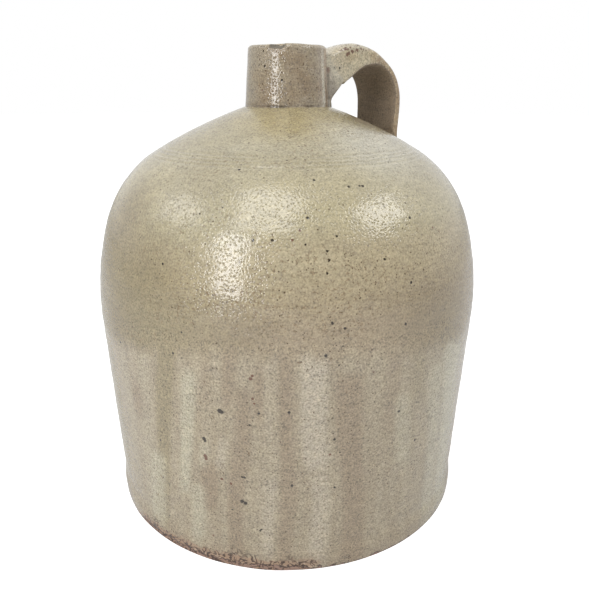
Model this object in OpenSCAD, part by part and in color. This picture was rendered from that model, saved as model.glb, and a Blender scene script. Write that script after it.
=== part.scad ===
// Two-gallon stoneware jug: a thrown body in three sections, a collar neck and a pulled strap handle.
// The origin is the centre of the foot on the table, +Z is up and the handle points along +X.

/* [Body] */
// Outside diameter at the widest part of the belly
belly_d = 240; // [225:1:255]
// Height of the widest part above the table
belly_z = 130; // [120:1:140]
// How far the straight taper of the wall draws in from the belly to the table
foot_inset = 5.8; // [3:0.1:9]
// Thickness of the thrown wall
wall_t = 8; // [6:0.5:10]
// Thickness of the floor
floor_t = 10; // [8:0.5:14]
// Radius of the fillet between the floor and the wall, inside
floor_round = 14; // [8:1:22]

/* [Foot] */
// How far the foot stands proud of the wall
foot_flare = 1.4; // [0.6:0.1:2.4]
// Height of the upright part of the foot
foot_band_h = 6; // [4:0.5:9]
// Height over which the foot fades into the wall
foot_cove_h = 11; // [8:0.5:16]
// Width of the worn edge that the jug stands on
foot_edge = 0.9; // [0.4:0.1:1.5]

/* [Shoulder] */
// Radius of the upright curve of the belly
belly_arc_r = 166; // [150:1:185]
// Slope of the wall, from upright, where the belly turns into the shoulder
belly_slope = 18.5; // [14:0.5:23]
// Radius of the curve of the shoulder
shoulder_arc_r = 72.5; // [65:0.5:80]
// Slope of the wall, from upright, where the shoulder meets the crown
crown_slope = 60; // [57:0.5:63]
// Radius of the shallow curve of the crown
crown_arc_r = 309; // [250:1:400]

/* [Seams] */
// Height of the luted seam above the widest part of the belly
seam_rise = 10; // [4:1:20]
// Height of the ridge that seats in the groove of each seam
seam_ridge_h = 2.5; // [1.5:0.25:3.5]
// Spacing of the throwing rings on both sides of the upper seam
ring_pitch = 3; // [2.4:0.1:4]
// Depth of the throwing rings
ring_depth = 0.3; // [0.1:0.05:0.6]
// Number of throwing rings on each side of the seam
ring_count = 2; // [1:1:3]

/* [Neck] */
// Outside diameter of the neck at its foot
neck_d = 51; // [47:0.5:54]
// Outside diameter of the neck at the lip
lip_d = 47; // [45:0.5:52]
// Height of the neck above the crown
neck_h = 34; // [30:0.5:40]
// Diameter of the mouth
mouth_d = 30; // [26:0.5:33]
// Radius of the rounded lip, outside and inside
lip_round = 2.5; // [1.5:0.25:3.5]
// Depth of the seat that the neck stands in
seat_depth = 1.5; // [1:0.25:2.5]
// Slope of the flared hole under the neck, from upright
throat_slope = 35; // [25:1:45]

/* [Handle] */
// How far the outer face of the strap stays inside the widest part of the belly
handle_inset = 29; // [24:0.5:34]
// Height of the crest of the handle above the lip
crest_rise = 3; // [1:0.25:5]
// Place of the crest, as a share of the way from the neck to the outer face of the strap
crest_share = 0.22; // [0.16:0.01:0.28]
// Slope of the strap, below level, where the long curve over its top turns into the bend
bend_slope = 34.5; // [30:0.5:40]
// Radius of the bend of the strap, on its outer face
bend_r = 34; // [31:0.5:36]
// Width of the strap
strap_w = 36; // [32:0.5:40]
// Thickness of the strap where it hangs
strap_t = 7; // [6:0.25:9]
// Thickness of the strap above the top of the finger hole
arch_t = 9; // [8:0.25:12]
// Radius of the rounded edges of the strap
strap_round = 3; // [2:0.25:3.5]
// Radius of the finger hole under the bend
hole_r = 23; // [21:0.5:25]
// Slope of the finger hole where the clay web takes over from the strap
web_slope = 42; // [38:1:46]
// Thickness of the strap at its end, inside its joint with the neck
root_t = 4; // [3:0.25:6]
// How far each side of the clay web under the root stands in from the side of the strap
web_inset = 5.5; // [4:0.25:8]
// How far the top of the web reaches out from the neck
web_reach = 7.4; // [6:0.2:10]
// How far the foot of the web reaches out from the neck
web_foot_reach = 1.5; // [1:0.25:3]
// Radius of the curve of the strap below the bend
low_arc_r = 60; // [50:1:80]
// Slope of the strap, past upright, where it starts to spread
low_slope = 12; // [8:1:15]
// Width of the spread end that is pressed on the shoulder
terminal_w = 46; // [42:0.5:52]
// How far out the spread end reaches over the shoulder, from the strap
terminal_run = 13; // [9:0.5:16]
// How far in the spread end reaches over the shoulder, from the strap
terminal_rise = 7; // [4:0.5:10]
// Radius of the corners of the spread end
terminal_round = 11; // [6:0.5:13]
// Thickness of the spread end at its edge
terminal_edge = 1.4; // [1:0.1:2.5]

/* [Hidden] */

clay = [0.72, 0.69, 0.58];
grey_clay = [0.64, 0.60, 0.52];
turn_facets = 180;
long_steps = 14;
short_steps = 6;
ring_steps = 6;
corner_steps = 4;
// A rounded edge takes up at most this share of the strap's thickness.
round_share = 0.45;
// Solids that are cut to fit run this far inside the surface that cuts them.
overrun = 6;

belly_r = belly_d / 2;
foot_line_r = belly_r - foot_inset;
neck_r = neck_d / 2;
lip_r = lip_d / 2;
mouth_r = mouth_d / 2;

// The unit vector at an angle above level, outwards from the axis.
function heading(a) = [cos(a), sin(a)];
function unit(v) = v / norm(v);
function arc(c, r, a, b, steps) = [for (i = [0:steps]) c + r * heading(a + (b - a) * i / steps)];
function reversed(points) = [for (i = [len(points) - 1:-1:0]) points[i]];
// Where two curves meet, their common point is kept once.
function distinct(points) = [
    for (i = [0:len(points) - 1])
        if (i == 0 || norm(points[i] - points[i - 1]) > wall_t / 1000) points[i]
];

module turned(profile) {
    rotate_extrude($fn = turn_facets) polygon(distinct(profile));
}

// The outside of the body is a straight taper and three arcs, each tangent to the next.
belly_c = [belly_r - belly_arc_r, belly_z];
shoulder_c = belly_c + (belly_arc_r - shoulder_arc_r) * heading(belly_slope);
crown_c = shoulder_c + (shoulder_arc_r - crown_arc_r) * heading(crown_slope);
seam_a = asin(seam_rise / belly_arc_r);
neck_a = acos((neck_r - crown_c.x) / crown_arc_r);
neck_z = crown_c.y + crown_arc_r * sin(neck_a);
lip_z = neck_z + neck_h;
seat_z = neck_z - seat_depth;

// The taper leans outwards just enough to meet the arc of the belly without a corner.
belly_to_foot = [foot_line_r, 0] - belly_c;
wall_lean = atan2(-belly_to_foot.y, belly_to_foot.x) - acos(belly_arc_r / norm(belly_to_foot));
function taper_r(z) = foot_line_r + z * tan(wall_lean);

// The foot stands proud of the taper and fades into it through a shallow cove.
function foot_share(z) = z < foot_band_h ? 1 : (1 + cos(180 * (z - foot_band_h) / foot_cove_h)) / 2;
function foot_r(z) = taper_r(z) + foot_flare * foot_share(z);
foot_outline = concat(
    [[foot_r(0) - foot_edge, 0], [foot_r(foot_edge), foot_edge]],
    [for (i = [0:short_steps]) let (z = foot_band_h + foot_cove_h * i / short_steps) [foot_r(z), z]]
);

// The inside of the wall runs parallel to the taper and turns into the floor with a fillet.
fillet_z = floor_t + floor_round;
fillet_c = [taper_r(fillet_z) - (wall_t + floor_round) / cos(wall_lean), fillet_z];

// Across each seam the upper section has a ridge that seats in a groove of the lower one.
seam_shares = [0, 0.25, 0.5, 0.75, 1];
function seam(c, r, a) = [
    for (s = seam_shares)
        c + (r - s * wall_t) * heading(a) - (s == 0.5 ? seam_ridge_h : 0) * heading(a + 90)
];

// Throwing rings are shallow grooves along an arc, counted from the seam at angle a.
function groove(distance) = ring_depth * pow(sin(180 * distance / ring_pitch), 2);
function rings(c, r, a, side) = [
    for (i = [0:ring_count * ring_steps])
        let (distance = i / ring_steps * ring_pitch)
            c + (r - groove(distance)) * heading(a + side * distance / r * 180 / PI)
];
function ring_turn(r) = ring_count * ring_pitch / r * 180 / PI;

upper_outline = concat(
    arc(belly_c, belly_arc_r, seam_a, belly_slope, short_steps),
    arc(shoulder_c, shoulder_arc_r, belly_slope, crown_slope - ring_turn(shoulder_arc_r), long_steps),
    reversed(rings(shoulder_c, shoulder_arc_r, crown_slope, -1))
);
crown_outline = concat(
    rings(crown_c, crown_arc_r, crown_slope, 1),
    arc(crown_c, crown_arc_r, crown_slope + ring_turn(crown_arc_r), neck_a, long_steps)
);

// The outside of the neck, from its seat to the top of the lip.
neck_outline = concat(
    [[neck_r, seat_z], [neck_r, neck_z]],
    arc([lip_r - lip_round, lip_z - lip_round], lip_round, 0, 90, short_steps)
);

module lower_body() {
    color(clay)
        turned(concat(
            foot_outline,
            arc(belly_c, belly_arc_r, -wall_lean, seam_a, long_steps),
            seam(belly_c, belly_arc_r, seam_a),
            arc(belly_c, belly_arc_r - wall_t, seam_a, -wall_lean, long_steps),
            arc(fillet_c, floor_round, -wall_lean, -90, long_steps),
            [[0, floor_t], [0, 0]]
        ));
}

module upper_body() {
    color(clay)
        turned(concat(
            upper_outline,
            seam(shoulder_c, shoulder_arc_r, crown_slope),
            arc(shoulder_c, shoulder_arc_r - wall_t, crown_slope, belly_slope, long_steps),
            arc(belly_c, belly_arc_r - wall_t, belly_slope, seam_a, short_steps),
            reversed(seam(belly_c, belly_arc_r, seam_a))
        ));
}

// The crown's hole starts as wide as the mouth and flares down to the inside surface.
inner_crown_r = crown_arc_r - wall_t;
throat_top = [mouth_r, seat_z];
throat_way = [sin(throat_slope), -cos(throat_slope)];
throat_from_c = throat_top - crown_c;
throat_near = throat_way * throat_from_c;
throat_excess = throat_from_c * throat_from_c - inner_crown_r * inner_crown_r;
throat_low = throat_top - (throat_near + sqrt(throat_near * throat_near - throat_excess)) * throat_way;
throat_a = acos((throat_low.x - crown_c.x) / inner_crown_r);

module crown() {
    color(clay)
        turned(concat(
            crown_outline,
            [[neck_r, seat_z], throat_top],
            arc(crown_c, inner_crown_r, throat_a, crown_slope, long_steps),
            reversed(seam(shoulder_c, shoulder_arc_r, crown_slope))
        ));
}

module neck() {
    color(grey_clay)
        turned(concat(
            neck_outline,
            arc([mouth_r + lip_round, lip_z - lip_round], lip_round, 90, 180, short_steps),
            [throat_top]
        ));
}

// What the handle and its web are pressed on: the solid outside of the body and of the neck.
module jug_form() {
    turned(concat([[0, belly_z]], upper_outline, crown_outline, [[0, neck_z]]));
    turned(concat([[0, seat_z]], neck_outline, [[0, lip_z]]));
}

// The outer face of the strap: a long curve over the crest, a bend, then a slack curve downwards.
handle_reach = belly_r - handle_inset;
crest_x = neck_r + crest_share * (handle_reach - neck_r);
crest_arc_r = bend_r + (handle_reach - crest_x - bend_r) / sin(bend_slope);
crest_c = [crest_x, lip_z + crest_rise - crest_arc_r];
bend_c = crest_c + (crest_arc_r - bend_r) * heading(90 - bend_slope);
low_c = [handle_reach - low_arc_r, bend_c.y];
function outer_face(slope) =
    slope < bend_slope ? crest_c + crest_arc_r * heading(90 - slope)
    : slope < 90 ? bend_c + bend_r * heading(90 - slope)
    : low_c + low_arc_r * heading(90 - slope);
function crest_slope(x) = asin((x - crest_x) / crest_arc_r);

// The inner face: the root's underside, a long curve, the finger hole's bend, then straight down.
hole_x = handle_reach - strap_t - hole_r;
hole_top = outer_face(crest_slope(hole_x)) - [0, arch_t];
hole_arc_r = (hole_x - neck_r - web_reach) / sin(web_slope);
knee = hole_top + hole_arc_r * (heading(90 + web_slope) - heading(90));
root_x = lip_r / 2;
root_top = outer_face(crest_slope(root_x));
root_low = root_top - [0, root_t];
low_end = outer_face(90 + low_slope);
inner_end = [handle_reach - strap_t, low_end.y];

// The spread end curves out to its edge on the shoulder, on both faces.
function on_shoulder(r, rise) =
    let (a = acos((r - shoulder_c.x) / shoulder_arc_r))
        shoulder_c + (shoulder_arc_r + rise) * heading(a);
terminal_out = on_shoulder(handle_reach + terminal_run, terminal_edge);
terminal_in = on_shoulder(handle_reach - strap_t - terminal_rise, terminal_edge);
terminal_sink = overrun * unit([terminal_in.y - terminal_out.y, terminal_out.x - terminal_in.x]);
function curve(a, b, c, s) = pow(1 - s, 2) * a + 2 * s * (1 - s) * b + s * s * c;
function above_shoulder(p) = [p.x, on_shoulder(p.x, 2 * terminal_edge).y];

// Each station of the strap: outer point, inner point, width, corner radius, and its share of wrap.
strap_stations = concat(
    [[root_top, root_low, strap_w, strap_round, 0]],
    [for (i = [0:short_steps])
        let (s = i / short_steps)
            [outer_face(crest_slope(knee.x) * (1 - s) + crest_slope(hole_x) * s),
             hole_top + hole_arc_r * (heading(90 + web_slope * (1 - s)) - heading(90)),
             strap_w, strap_round, 0]],
    [for (i = [1:long_steps])
        let (s = i / long_steps)
            [outer_face(crest_slope(hole_x) * (1 - s) + 90 * s),
             hole_top + hole_r * (heading(90 * (1 - s)) - heading(90)),
             strap_w, strap_round, 0]],
    [for (s = [0.5, 1])
        [outer_face(90 + low_slope * s),
         [inner_end.x, hole_top.y - hole_r + (inner_end.y - hole_top.y + hole_r) * s],
         strap_w, strap_round, 0]],
    [for (i = [1:short_steps])
        let (s = i / short_steps, spread = s * s)
            [curve(low_end, above_shoulder(low_end), terminal_out, s),
             curve(inner_end, above_shoulder(inner_end), terminal_in, s),
             strap_w + (terminal_w - strap_w) * spread,
             strap_round + (terminal_round - strap_round) * spread, s]],
    [[terminal_out - terminal_sink, terminal_in - terminal_sink, terminal_w, terminal_round, 1]]
);

// A rounded rectangle across the strap; wrap bends it round the axis, to lie on the shoulder.
corner_sides = [[1, 1], [-1, 1], [-1, -1], [1, -1]];
function section(station) =
    let (outer = station[0], inner = station[1], across = norm(outer - inner), wrap = station[4])
    let (r = min(station[3], round_share * across), up = unit(outer - inner))
    [for (corner = [0:3], i = [0:corner_steps])
        let (turn = heading(90 * (corner + i / corner_steps)), side = corner_sides[corner])
        let (y = side.x * (station[2] / 2 - r) + r * turn.x)
        let (p = (outer + inner) / 2 + (side.y * (across / 2 - r) + r * turn.y) * up)
        let (bend = y / p.x * 180 / PI)
            [p.x - wrap * p.x * (1 - cos(bend)), y + wrap * (p.x * sin(bend) - y), p.y]];

module loft(sections) {
    sides = len(sections[0]);
    last = (len(sections) - 1) * sides;
    polyhedron(
        points = [for (s = sections) each s],
        faces = concat(
            [[for (j = [sides - 1:-1:0]) j]],
            [for (i = [0:sides:last - sides], j = [0:sides - 1])
                let (a = i + j, b = i + (j + 1) % sides)
                    each [[a, b, b + sides], [a, b + sides, a + sides]]],
            [[for (j = [0:sides - 1]) last + j]]
        ),
        convexity = 6
    );
}

module handle() {
    color(clay)
        difference() {
            loft([for (station = strap_stations) section(station)]);
            jug_form();
        }
}

// The web of clay wiped into the corner under the root of the strap.
web_w = strap_w - 2 * web_inset;
web_foot = [neck_r + web_foot_reach, neck_z];
web_step = knee - web_foot;
web_arc_r = web_step * web_step / (2 * web_step.x);
web_turn = asin(web_step.y / web_arc_r);

module handle_web() {
    color(grey_clay)
        difference() {
            rotate([90, 0, 0])
                linear_extrude(web_w, center = true)
                    polygon(distinct(concat(
                        [root_low, knee],
                        arc(web_foot + [web_arc_r, 0], web_arc_r, 180 - web_turn, 180, short_steps),
                        [web_foot - [0, overrun], [root_x, web_foot.y - overrun]]
                    )));
            jug_form();
        }
}

lower_body();
upper_body();
crown();
neck();
handle();
handle_web();
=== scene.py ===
"""Two-gallon salt-glazed stoneware jug, as it stands in a plain white studio."""

import functools
import math
import random

import bmesh
import bpy
from mathutils import Matrix, Vector, noise


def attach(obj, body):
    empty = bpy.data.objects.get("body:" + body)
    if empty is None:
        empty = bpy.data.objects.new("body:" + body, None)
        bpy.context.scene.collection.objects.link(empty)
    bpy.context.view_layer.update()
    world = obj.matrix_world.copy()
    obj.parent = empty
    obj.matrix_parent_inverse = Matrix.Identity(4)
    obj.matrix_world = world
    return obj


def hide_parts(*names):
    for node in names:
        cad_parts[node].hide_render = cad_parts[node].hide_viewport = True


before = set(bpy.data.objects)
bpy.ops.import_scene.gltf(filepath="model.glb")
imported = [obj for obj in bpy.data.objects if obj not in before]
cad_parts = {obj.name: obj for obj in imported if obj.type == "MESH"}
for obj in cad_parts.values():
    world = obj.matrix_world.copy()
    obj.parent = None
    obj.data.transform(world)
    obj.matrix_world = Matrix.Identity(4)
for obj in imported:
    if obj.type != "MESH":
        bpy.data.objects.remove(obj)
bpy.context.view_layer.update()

MM = 0.001
TURN = 2 * math.pi

# The turned outline: a straight taper and three arcs, each tangent to the next.
BELLY_R, BELLY_Z = 120 * MM, 130 * MM
FOOT_INSET = 5.8 * MM
WALL = 8 * MM
FLOOR = 10 * MM
FLOOR_ROUND = 14 * MM
FOOT_FLARE, FOOT_BAND, FOOT_COVE, FOOT_EDGE = 1.4 * MM, 6 * MM, 11 * MM, 0.9 * MM
BELLY_ARC, SHOULDER_ARC, CROWN_ARC = 166 * MM, 72.5 * MM, 309 * MM
BELLY_SLOPE, CROWN_SLOPE = math.radians(18.5), math.radians(60)
SEAM_RISE, SEAM_RIDGE = 10 * MM, 2.5 * MM
RING_PITCH, RING_DEPTH, RING_COUNT = 3 * MM, 0.3 * MM, 2
NECK_R, LIP_R, MOUTH_R = 25.5 * MM, 23.5 * MM, 15 * MM
NECK_H, LIP_ROUND, SEAT = 34 * MM, 2.5 * MM, 1.5 * MM
THROAT_SLOPE = math.radians(35)

# The strap handle, in the plane of +X.
REACH = BELLY_R - 29 * MM
CREST_RISE = 3 * MM
CREST_X = NECK_R + 0.22 * (REACH - NECK_R)
BEND_SLOPE, BEND_R = math.radians(34.5), 34 * MM
STRAP_W, STRAP_T, ARCH_T = 36 * MM, 7 * MM, 9 * MM
HOLE_R = 23 * MM
WEB_SLOPE = math.radians(42)
WEB_REACH, WEB_FOOT = 7.4 * MM, 1.5 * MM
LOW_ARC, LOW_SLOPE = 60 * MM, math.radians(12)
END_W, END_RUN, END_RISE, END_EDGE = 46 * MM, 13 * MM, 7 * MM, 1.4 * MM

# The camera, found from the outline of the jug in the photograph.
PHOTO = (589, 600)
FOCAL_PX = 608.8
CAMERA_D, CAMERA_H = 388.3 * MM, 258.1 * MM
HANDLE_TURN = math.radians(47)
PITCH, YAW, ROLL = 0.3383, 0.0123, -0.0070


def polar(angle):
    return Vector((math.cos(angle), math.sin(angle)))


def arc(centre, radius, start, end, steps):
    return [centre + radius * polar(start + (end - start) * i / steps) for i in range(steps + 1)]


belly_c = Vector((BELLY_R - BELLY_ARC, BELLY_Z))
shoulder_c = belly_c + (BELLY_ARC - SHOULDER_ARC) * polar(BELLY_SLOPE)
crown_c = shoulder_c + (SHOULDER_ARC - CROWN_ARC) * polar(CROWN_SLOPE)
seam_a = math.asin(SEAM_RISE / BELLY_ARC)
neck_a = math.acos((NECK_R - crown_c.x) / CROWN_ARC)
neck_z = crown_c.y + CROWN_ARC * math.sin(neck_a)
lip_z = neck_z + NECK_H
foot_line = BELLY_R - FOOT_INSET
to_foot = Vector((foot_line, 0)) - belly_c
lean = math.atan2(-to_foot.y, to_foot.x) - math.acos(BELLY_ARC / to_foot.length)


def taper(z):
    return foot_line + z * math.tan(lean)


def foot_radius(z):
    fade = 1 if z < FOOT_BAND else (1 + math.cos(math.pi * min(1, (z - FOOT_BAND) / FOOT_COVE))) / 2
    return taper(z) + FOOT_FLARE * fade


def surface_radius(z):
    """Radius of the outside of the body at a height."""
    if z > crown_c.y + CROWN_ARC * math.sin(CROWN_SLOPE):
        return crown_c.x + math.sqrt(CROWN_ARC**2 - (z - crown_c.y) ** 2)
    if z > belly_c.y + BELLY_ARC * math.sin(BELLY_SLOPE):
        return shoulder_c.x + math.sqrt(SHOULDER_ARC**2 - (z - shoulder_c.y) ** 2)
    if z > belly_c.y - BELLY_ARC * math.sin(lean):
        return belly_c.x + math.sqrt(BELLY_ARC**2 - (z - belly_c.y) ** 2)
    return foot_radius(z)


def slope_normal(point):
    """The outward direction of the body's true outline at a point."""
    reach = 0.5 * MM
    lean_out = (surface_radius(point.z + reach) - surface_radius(max(0, point.z - reach))) / (2 * reach)
    flat = Vector((point.x, point.y, 0)).normalized()
    return (flat - Vector((0, 0, lean_out))).normalized()


def camera_frame():
    """Place of the camera, and its right, up and forward directions."""
    front = Vector((math.cos(HANDLE_TURN), math.sin(HANDLE_TURN), 0))
    side = Vector((math.sin(HANDLE_TURN), -math.cos(HANDLE_TURN), 0))
    up = Vector((0, 0, 1))
    ahead = math.sin(YAW) * side + math.cos(YAW) * front
    right = math.cos(YAW) * side - math.sin(YAW) * front
    forward = math.cos(PITCH) * ahead - math.sin(PITCH) * up
    above = math.sin(PITCH) * ahead + math.cos(PITCH) * up
    place = -CAMERA_D * front + CAMERA_H * up
    rolled_right = math.cos(ROLL) * right + math.sin(ROLL) * above
    rolled_up = math.cos(ROLL) * above - math.sin(ROLL) * right
    return place, rolled_right, rolled_up, forward


def on_jug(px, py):
    """The point of the body or the neck that the photograph shows at a pixel."""
    place, right, up, forward = camera_frame()
    ray = (px - PHOTO[0] / 2) * right - (py - PHOTO[1] / 2) * up + FOCAL_PX * forward
    ray.normalize()
    step = 0.25 * MM
    point = place + ray * 200 * MM
    while point.z > 0:
        if point.z < lip_z:
            taper_share = (point.z - neck_z) / NECK_H
            neck_radius = NECK_R + (LIP_R - NECK_R) * taper_share
            radius = surface_radius(point.z) if point.z < neck_z else neck_radius
            if math.hypot(point.x, point.y) < radius:
                return point
        point = point + ray * step
    raise ValueError(f"no part of the jug is at {px}, {py}")


def on_strap(px, py):
    """The point of the strap's near side that the photograph shows at a pixel."""
    place, right, up, forward = camera_frame()
    ray = (px - PHOTO[0] / 2) * right - (py - PHOTO[1] / 2) * up + FOCAL_PX * forward
    return place + ray * ((-STRAP_W / 2 - place.y) / ray.y)


def set_camera():
    place, right, up, forward = camera_frame()
    data = bpy.data.cameras.new("camera")
    data.sensor_width = 36
    data.lens = data.sensor_width * FOCAL_PX / max(PHOTO)
    data.clip_start = 0.01
    camera = bpy.data.objects.new("camera", data)
    turn = Matrix((right, up, -forward)).transposed()
    camera.matrix_world = Matrix.Translation(place) @ turn.to_4x4()
    bpy.context.scene.collection.objects.link(camera)
    bpy.context.scene.camera = camera


# The marks of the hand and the kiln, placed where the photograph shows them.

# A run of glaze down the wall: where its middle is in pixels across the photograph at the rows
# RUNS_HIGH and RUNS_LOW, its half width there, the rows where it starts and ends, its tone, and
# how strong it is.
RUNS_HIGH, RUNS_LOW = 360, 500
TO_FOOT_ROW = 540
MIDDLE_X = 290
RUNS = (
    (124, 143, 7, 352, 560, "sage", 0.3),
    (146, 154, 9, 354, 560, "sage", 0.35),
    (138, 149, 8, 398, 436, "brown", 0.9),
    (168, 168, 10, 338, 560, "olive", 1.0),
    (190, 190, 9, 370, 506, "sage", 0.7),
    (205, 206, 7, 340, 412, "brown", 0.5),
    (204, 203, 12, 488, 560, "sage", 0.6),
    (207, 207, 7, 442, 474, "sage", 0.5),
    (226, 228, 9, 336, 412, "brown", 0.8),
    (213, 214, 10, 468, 513, "brown", 1.3),
    (222, 223, 7, 436, 474, "pale", 0.6),
    (241, 240, 12, 384, 560, "brown", 0.85),
    (256, 256, 8, 362, 426, "brown", 0.75),
    (156, 162, 13, 466, 560, "sage", 0.7),
    (268, 266, 9, 345, 560, "pale", 0.35),
    (287, 289, 11, 345, 560, "brown", 0.8),
    (272, 272, 8, 474, 560, "pale", 0.7),
    (317, 319, 16, 342, 470, "pale", 1.0),
    (316, 320, 14, 470, 560, "pale", 0.7),
    (352, 353, 15, 372, 560, "brown", 1.0),
    (396, 386, 9, 345, 440, "brown", 0.6),
    (405, 401, 11, 398, 482, "sage", 0.5),
    (422, 412, 10, 300, 420, "olive", 0.45),
    (437, 427, 9, 372, 560, "sage", 0.6),
    (452, 440, 9, 345, 560, "sage", 0.9),
)
TONES = ("pale", "brown", "olive", "sage")
UNSEEN_RUNS = 26
SIDE_DROP = 30 * MM
RUN_FADE, RUN_WANDER = 1.6, 0.12
WIDTH_STEP_PX = 3

# Knocks to the edge of the foot and of the lip: pixel, radius and depth in millimetres.
FOOT_CHIPS = ((232, 557, 3.4, 1.4), (176, 541, 2.6, 0.7), (300, 565, 2.2, 0.6), (398, 536, 2.4, 0.6))
LIP_CHIP_PX = (274.5, 44.6)
LIP_CHIP_R, LIP_CHIP_DEPTH, LIP_CHIP_RAGGED = 5.8 * MM, 1.3 * MM, 1.8 * MM

# The side of the foot that the glaze left bare: its middle, and its half width in radians.
BARE_PX = (213, 545)
BARE_HALF = 0.56
GLAZE_EDGE_TOP = 20 * MM

# The ring of the crown under the handle that is painted with shade: its radii, its half width in
# radians either side of the handle, and the lowest height that counts.
HANDLE_SHADE_IN, HANDLE_SHADE_OUT, HANDLE_SHADE_HALF = 31 * MM, 54 * MM, 1.38
HANDLE_SHADE_LOW = 215 * MM

# How a hand-thrown surface strays from its true outline: depth and size of the patches.
SWAY, SWAY_SIZE = 0.4 * MM, 110 * MM
THROWN, THROWN_SIZE, THROWN_STRETCH = 0.22 * MM, 6.5 * MM, 0.3
DENTS, DENTS_SIZE = 0.12 * MM, 17 * MM

# The same for the neck: the sway of its rim, the gap at its foot, the radius beyond which it is
# shaped, its waist and the hand's marks.
RIM_SWAY, RIM_SWAY_H = 0.9 * MM, 9 * MM
FOOT_GAP, FOOT_GAP_H = 0.7 * MM, 1.3 * MM
NECK_OUTSIDE, NECK_WAIST = 19 * MM, 0.3 * MM
NECK_DENTS, NECK_DENTS_SIZE = 0.3 * MM, 14 * MM
NECK_LINES, NECK_LINES_SIZE = 0.12 * MM, 3 * MM


def drift(point, size, seed):
    """Soft noise from 0 to 1 over patches of that size."""
    return min(1, max(0, 0.5 + 0.8 * noise.noise(point / size + Vector((seed, seed, seed)))))


def ease(value, low, high):
    share = min(1, max(0, (value - low) / (high - low)))
    return share * share * (3 - 2 * share)


def turn_of(point):
    return math.atan2(point.y, point.x)


def from_front(point):
    """The turn of a point, counted from the side that faces the camera."""
    return (turn_of(point) - HANDLE_TURN) % TURN - math.pi


def apart(a, b):
    """The angle between two turns, the short way."""
    return abs((a - b + math.pi) % TURN - math.pi)


def turn_at(px, row):
    return from_front(on_jug(px, row))


def placed_runs():
    """Each run as its turns at two heights, half width in radians, top, bottom, tone and strength."""
    runs = []
    for high_px, low_px, half, top, bottom, kind, strength in RUNS:
        turns = turn_at(high_px, RUNS_HIGH), turn_at(low_px, RUNS_LOW)
        step = turn_at(high_px + WIDTH_STEP_PX, RUNS_HIGH) - turn_at(high_px - WIDTH_STEP_PX, RUNS_HIGH)
        width = step * half / (2 * WIDTH_STEP_PX)
        high = on_jug(MIDDLE_X, top).z
        low = 0 if bottom > TO_FOOT_ROW else on_jug(MIDDLE_X, bottom).z
        drop = SIDE_DROP * (1 - math.cos(turns[0]))
        runs.append((turns, width, high - drop, low and low - drop, kind, strength))
    chance = random.Random(5)
    first, last = runs[-1][0][0] + runs[-1][1], runs[0][0][0] - runs[0][1] + TURN
    for i in range(UNSEEN_RUNS):
        centre = first + (last - first) * (i + 0.5 + chance.uniform(-0.3, 0.3)) / UNSEEN_RUNS
        width = math.radians(chance.uniform(2.5, 6))
        low = 0 if chance.random() < 0.7 else chance.uniform(15, 45) * MM
        high = chance.uniform(100, 124) * MM
        runs.append(((centre, centre), width, high, low, chance.choice(TONES), chance.uniform(0.4, 1)))
    return runs


body_runs = placed_runs()
runs_high_z, runs_low_z = on_jug(MIDDLE_X, RUNS_HIGH).z, on_jug(MIDDLE_X, RUNS_LOW).z
foot_chips = [(on_jug(px, py), radius * MM, depth * MM) for px, py, radius, depth in FOOT_CHIPS]
lip_chip = on_jug(*LIP_CHIP_PX)
bare_turn = turn_of(on_jug(*BARE_PX))


@functools.cache
def runs_near(degree):
    """The runs that can reach a whole degree round the jug."""
    turn = math.radians(degree)
    near = []
    for run in body_runs:
        centres, width = run[:2]
        if min(apart(turn, centre) for centre in centres) < RUN_FADE * width + RUN_WANDER:
            near.append(run)
    return near


def run_amounts(point):
    """How much of each tone of run lies on the wall at a point."""
    amounts = dict.fromkeys(TONES, 0)
    wander = 0.03 * (drift(point, 45 * MM, 9) - 0.5)
    down = (runs_high_z - point.z) / (runs_high_z - runs_low_z)
    for turns, width, high, low, kind, strength in runs_near(round(math.degrees(from_front(point)))):
        away = apart(from_front(point) + wander, turns[0] + (turns[1] - turns[0]) * down) / width
        if away > RUN_FADE:
            continue
        ends = ease(high - point.z, -6 * MM, 10 * MM)
        if low:
            ends *= ease(point.z - low, -12 * MM, 8 * MM)
        amounts[kind] = max(amounts[kind], strength * ends * math.exp(-(away**3)))
    return [amounts[kind] for kind in TONES]


def hand_depth(point):
    """How far the hand-thrown wall lies inside its true outline."""
    flat = Vector((point.x, point.y, 0)) * THROWN_STRETCH
    depth = SWAY * drift(point, SWAY_SIZE, 3)
    depth += THROWN * drift(flat + Vector((0, 0, point.z)), THROWN_SIZE, 11)
    depth += DENTS * drift(point, DENTS_SIZE, 19)
    for place, radius, knock in foot_chips:
        depth += knock * ease(radius - (point - place).length, 0, radius * 0.7)
    return depth


def chip_share(point):
    """1 in the middle of the break in the lip, 0 outside it; the break is wider than it is high."""
    ragged = LIP_CHIP_RAGGED * (drift(point, 3 * MM, 4) - 0.5)
    away = point - lip_chip
    away.z *= 2.1
    return ease(LIP_CHIP_R + ragged - away.length, 0, 1.6 * MM)


# Turned pieces.

WALL_PITCH = 1.5 * MM
ROUND = 320
DISH, DISH_R, SLOPE_R, FOOT_IN_R = 0.8 * MM, 60 * MM, 98 * MM, 106 * MM
OUTSIDE = 1.1 * MM
seat_z = neck_z - SEAT
ring_turn = RING_COUNT * RING_PITCH
fillet_z = FLOOR + FLOOR_ROUND
fillet_c = Vector((taper(fillet_z) - (WALL + FLOOR_ROUND) / math.cos(lean), fillet_z))


def seam(centre, radius, angle):
    """The joint across a seam; the upper section has a ridge that seats in the lower one."""
    ridge = SEAM_RIDGE * polar(angle + math.pi / 2)
    points = [centre + (radius - share * WALL) * polar(angle) for share in (0, 0.25, 0.5, 0.75, 1)]
    points[2] = points[2] - ridge
    return points


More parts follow.
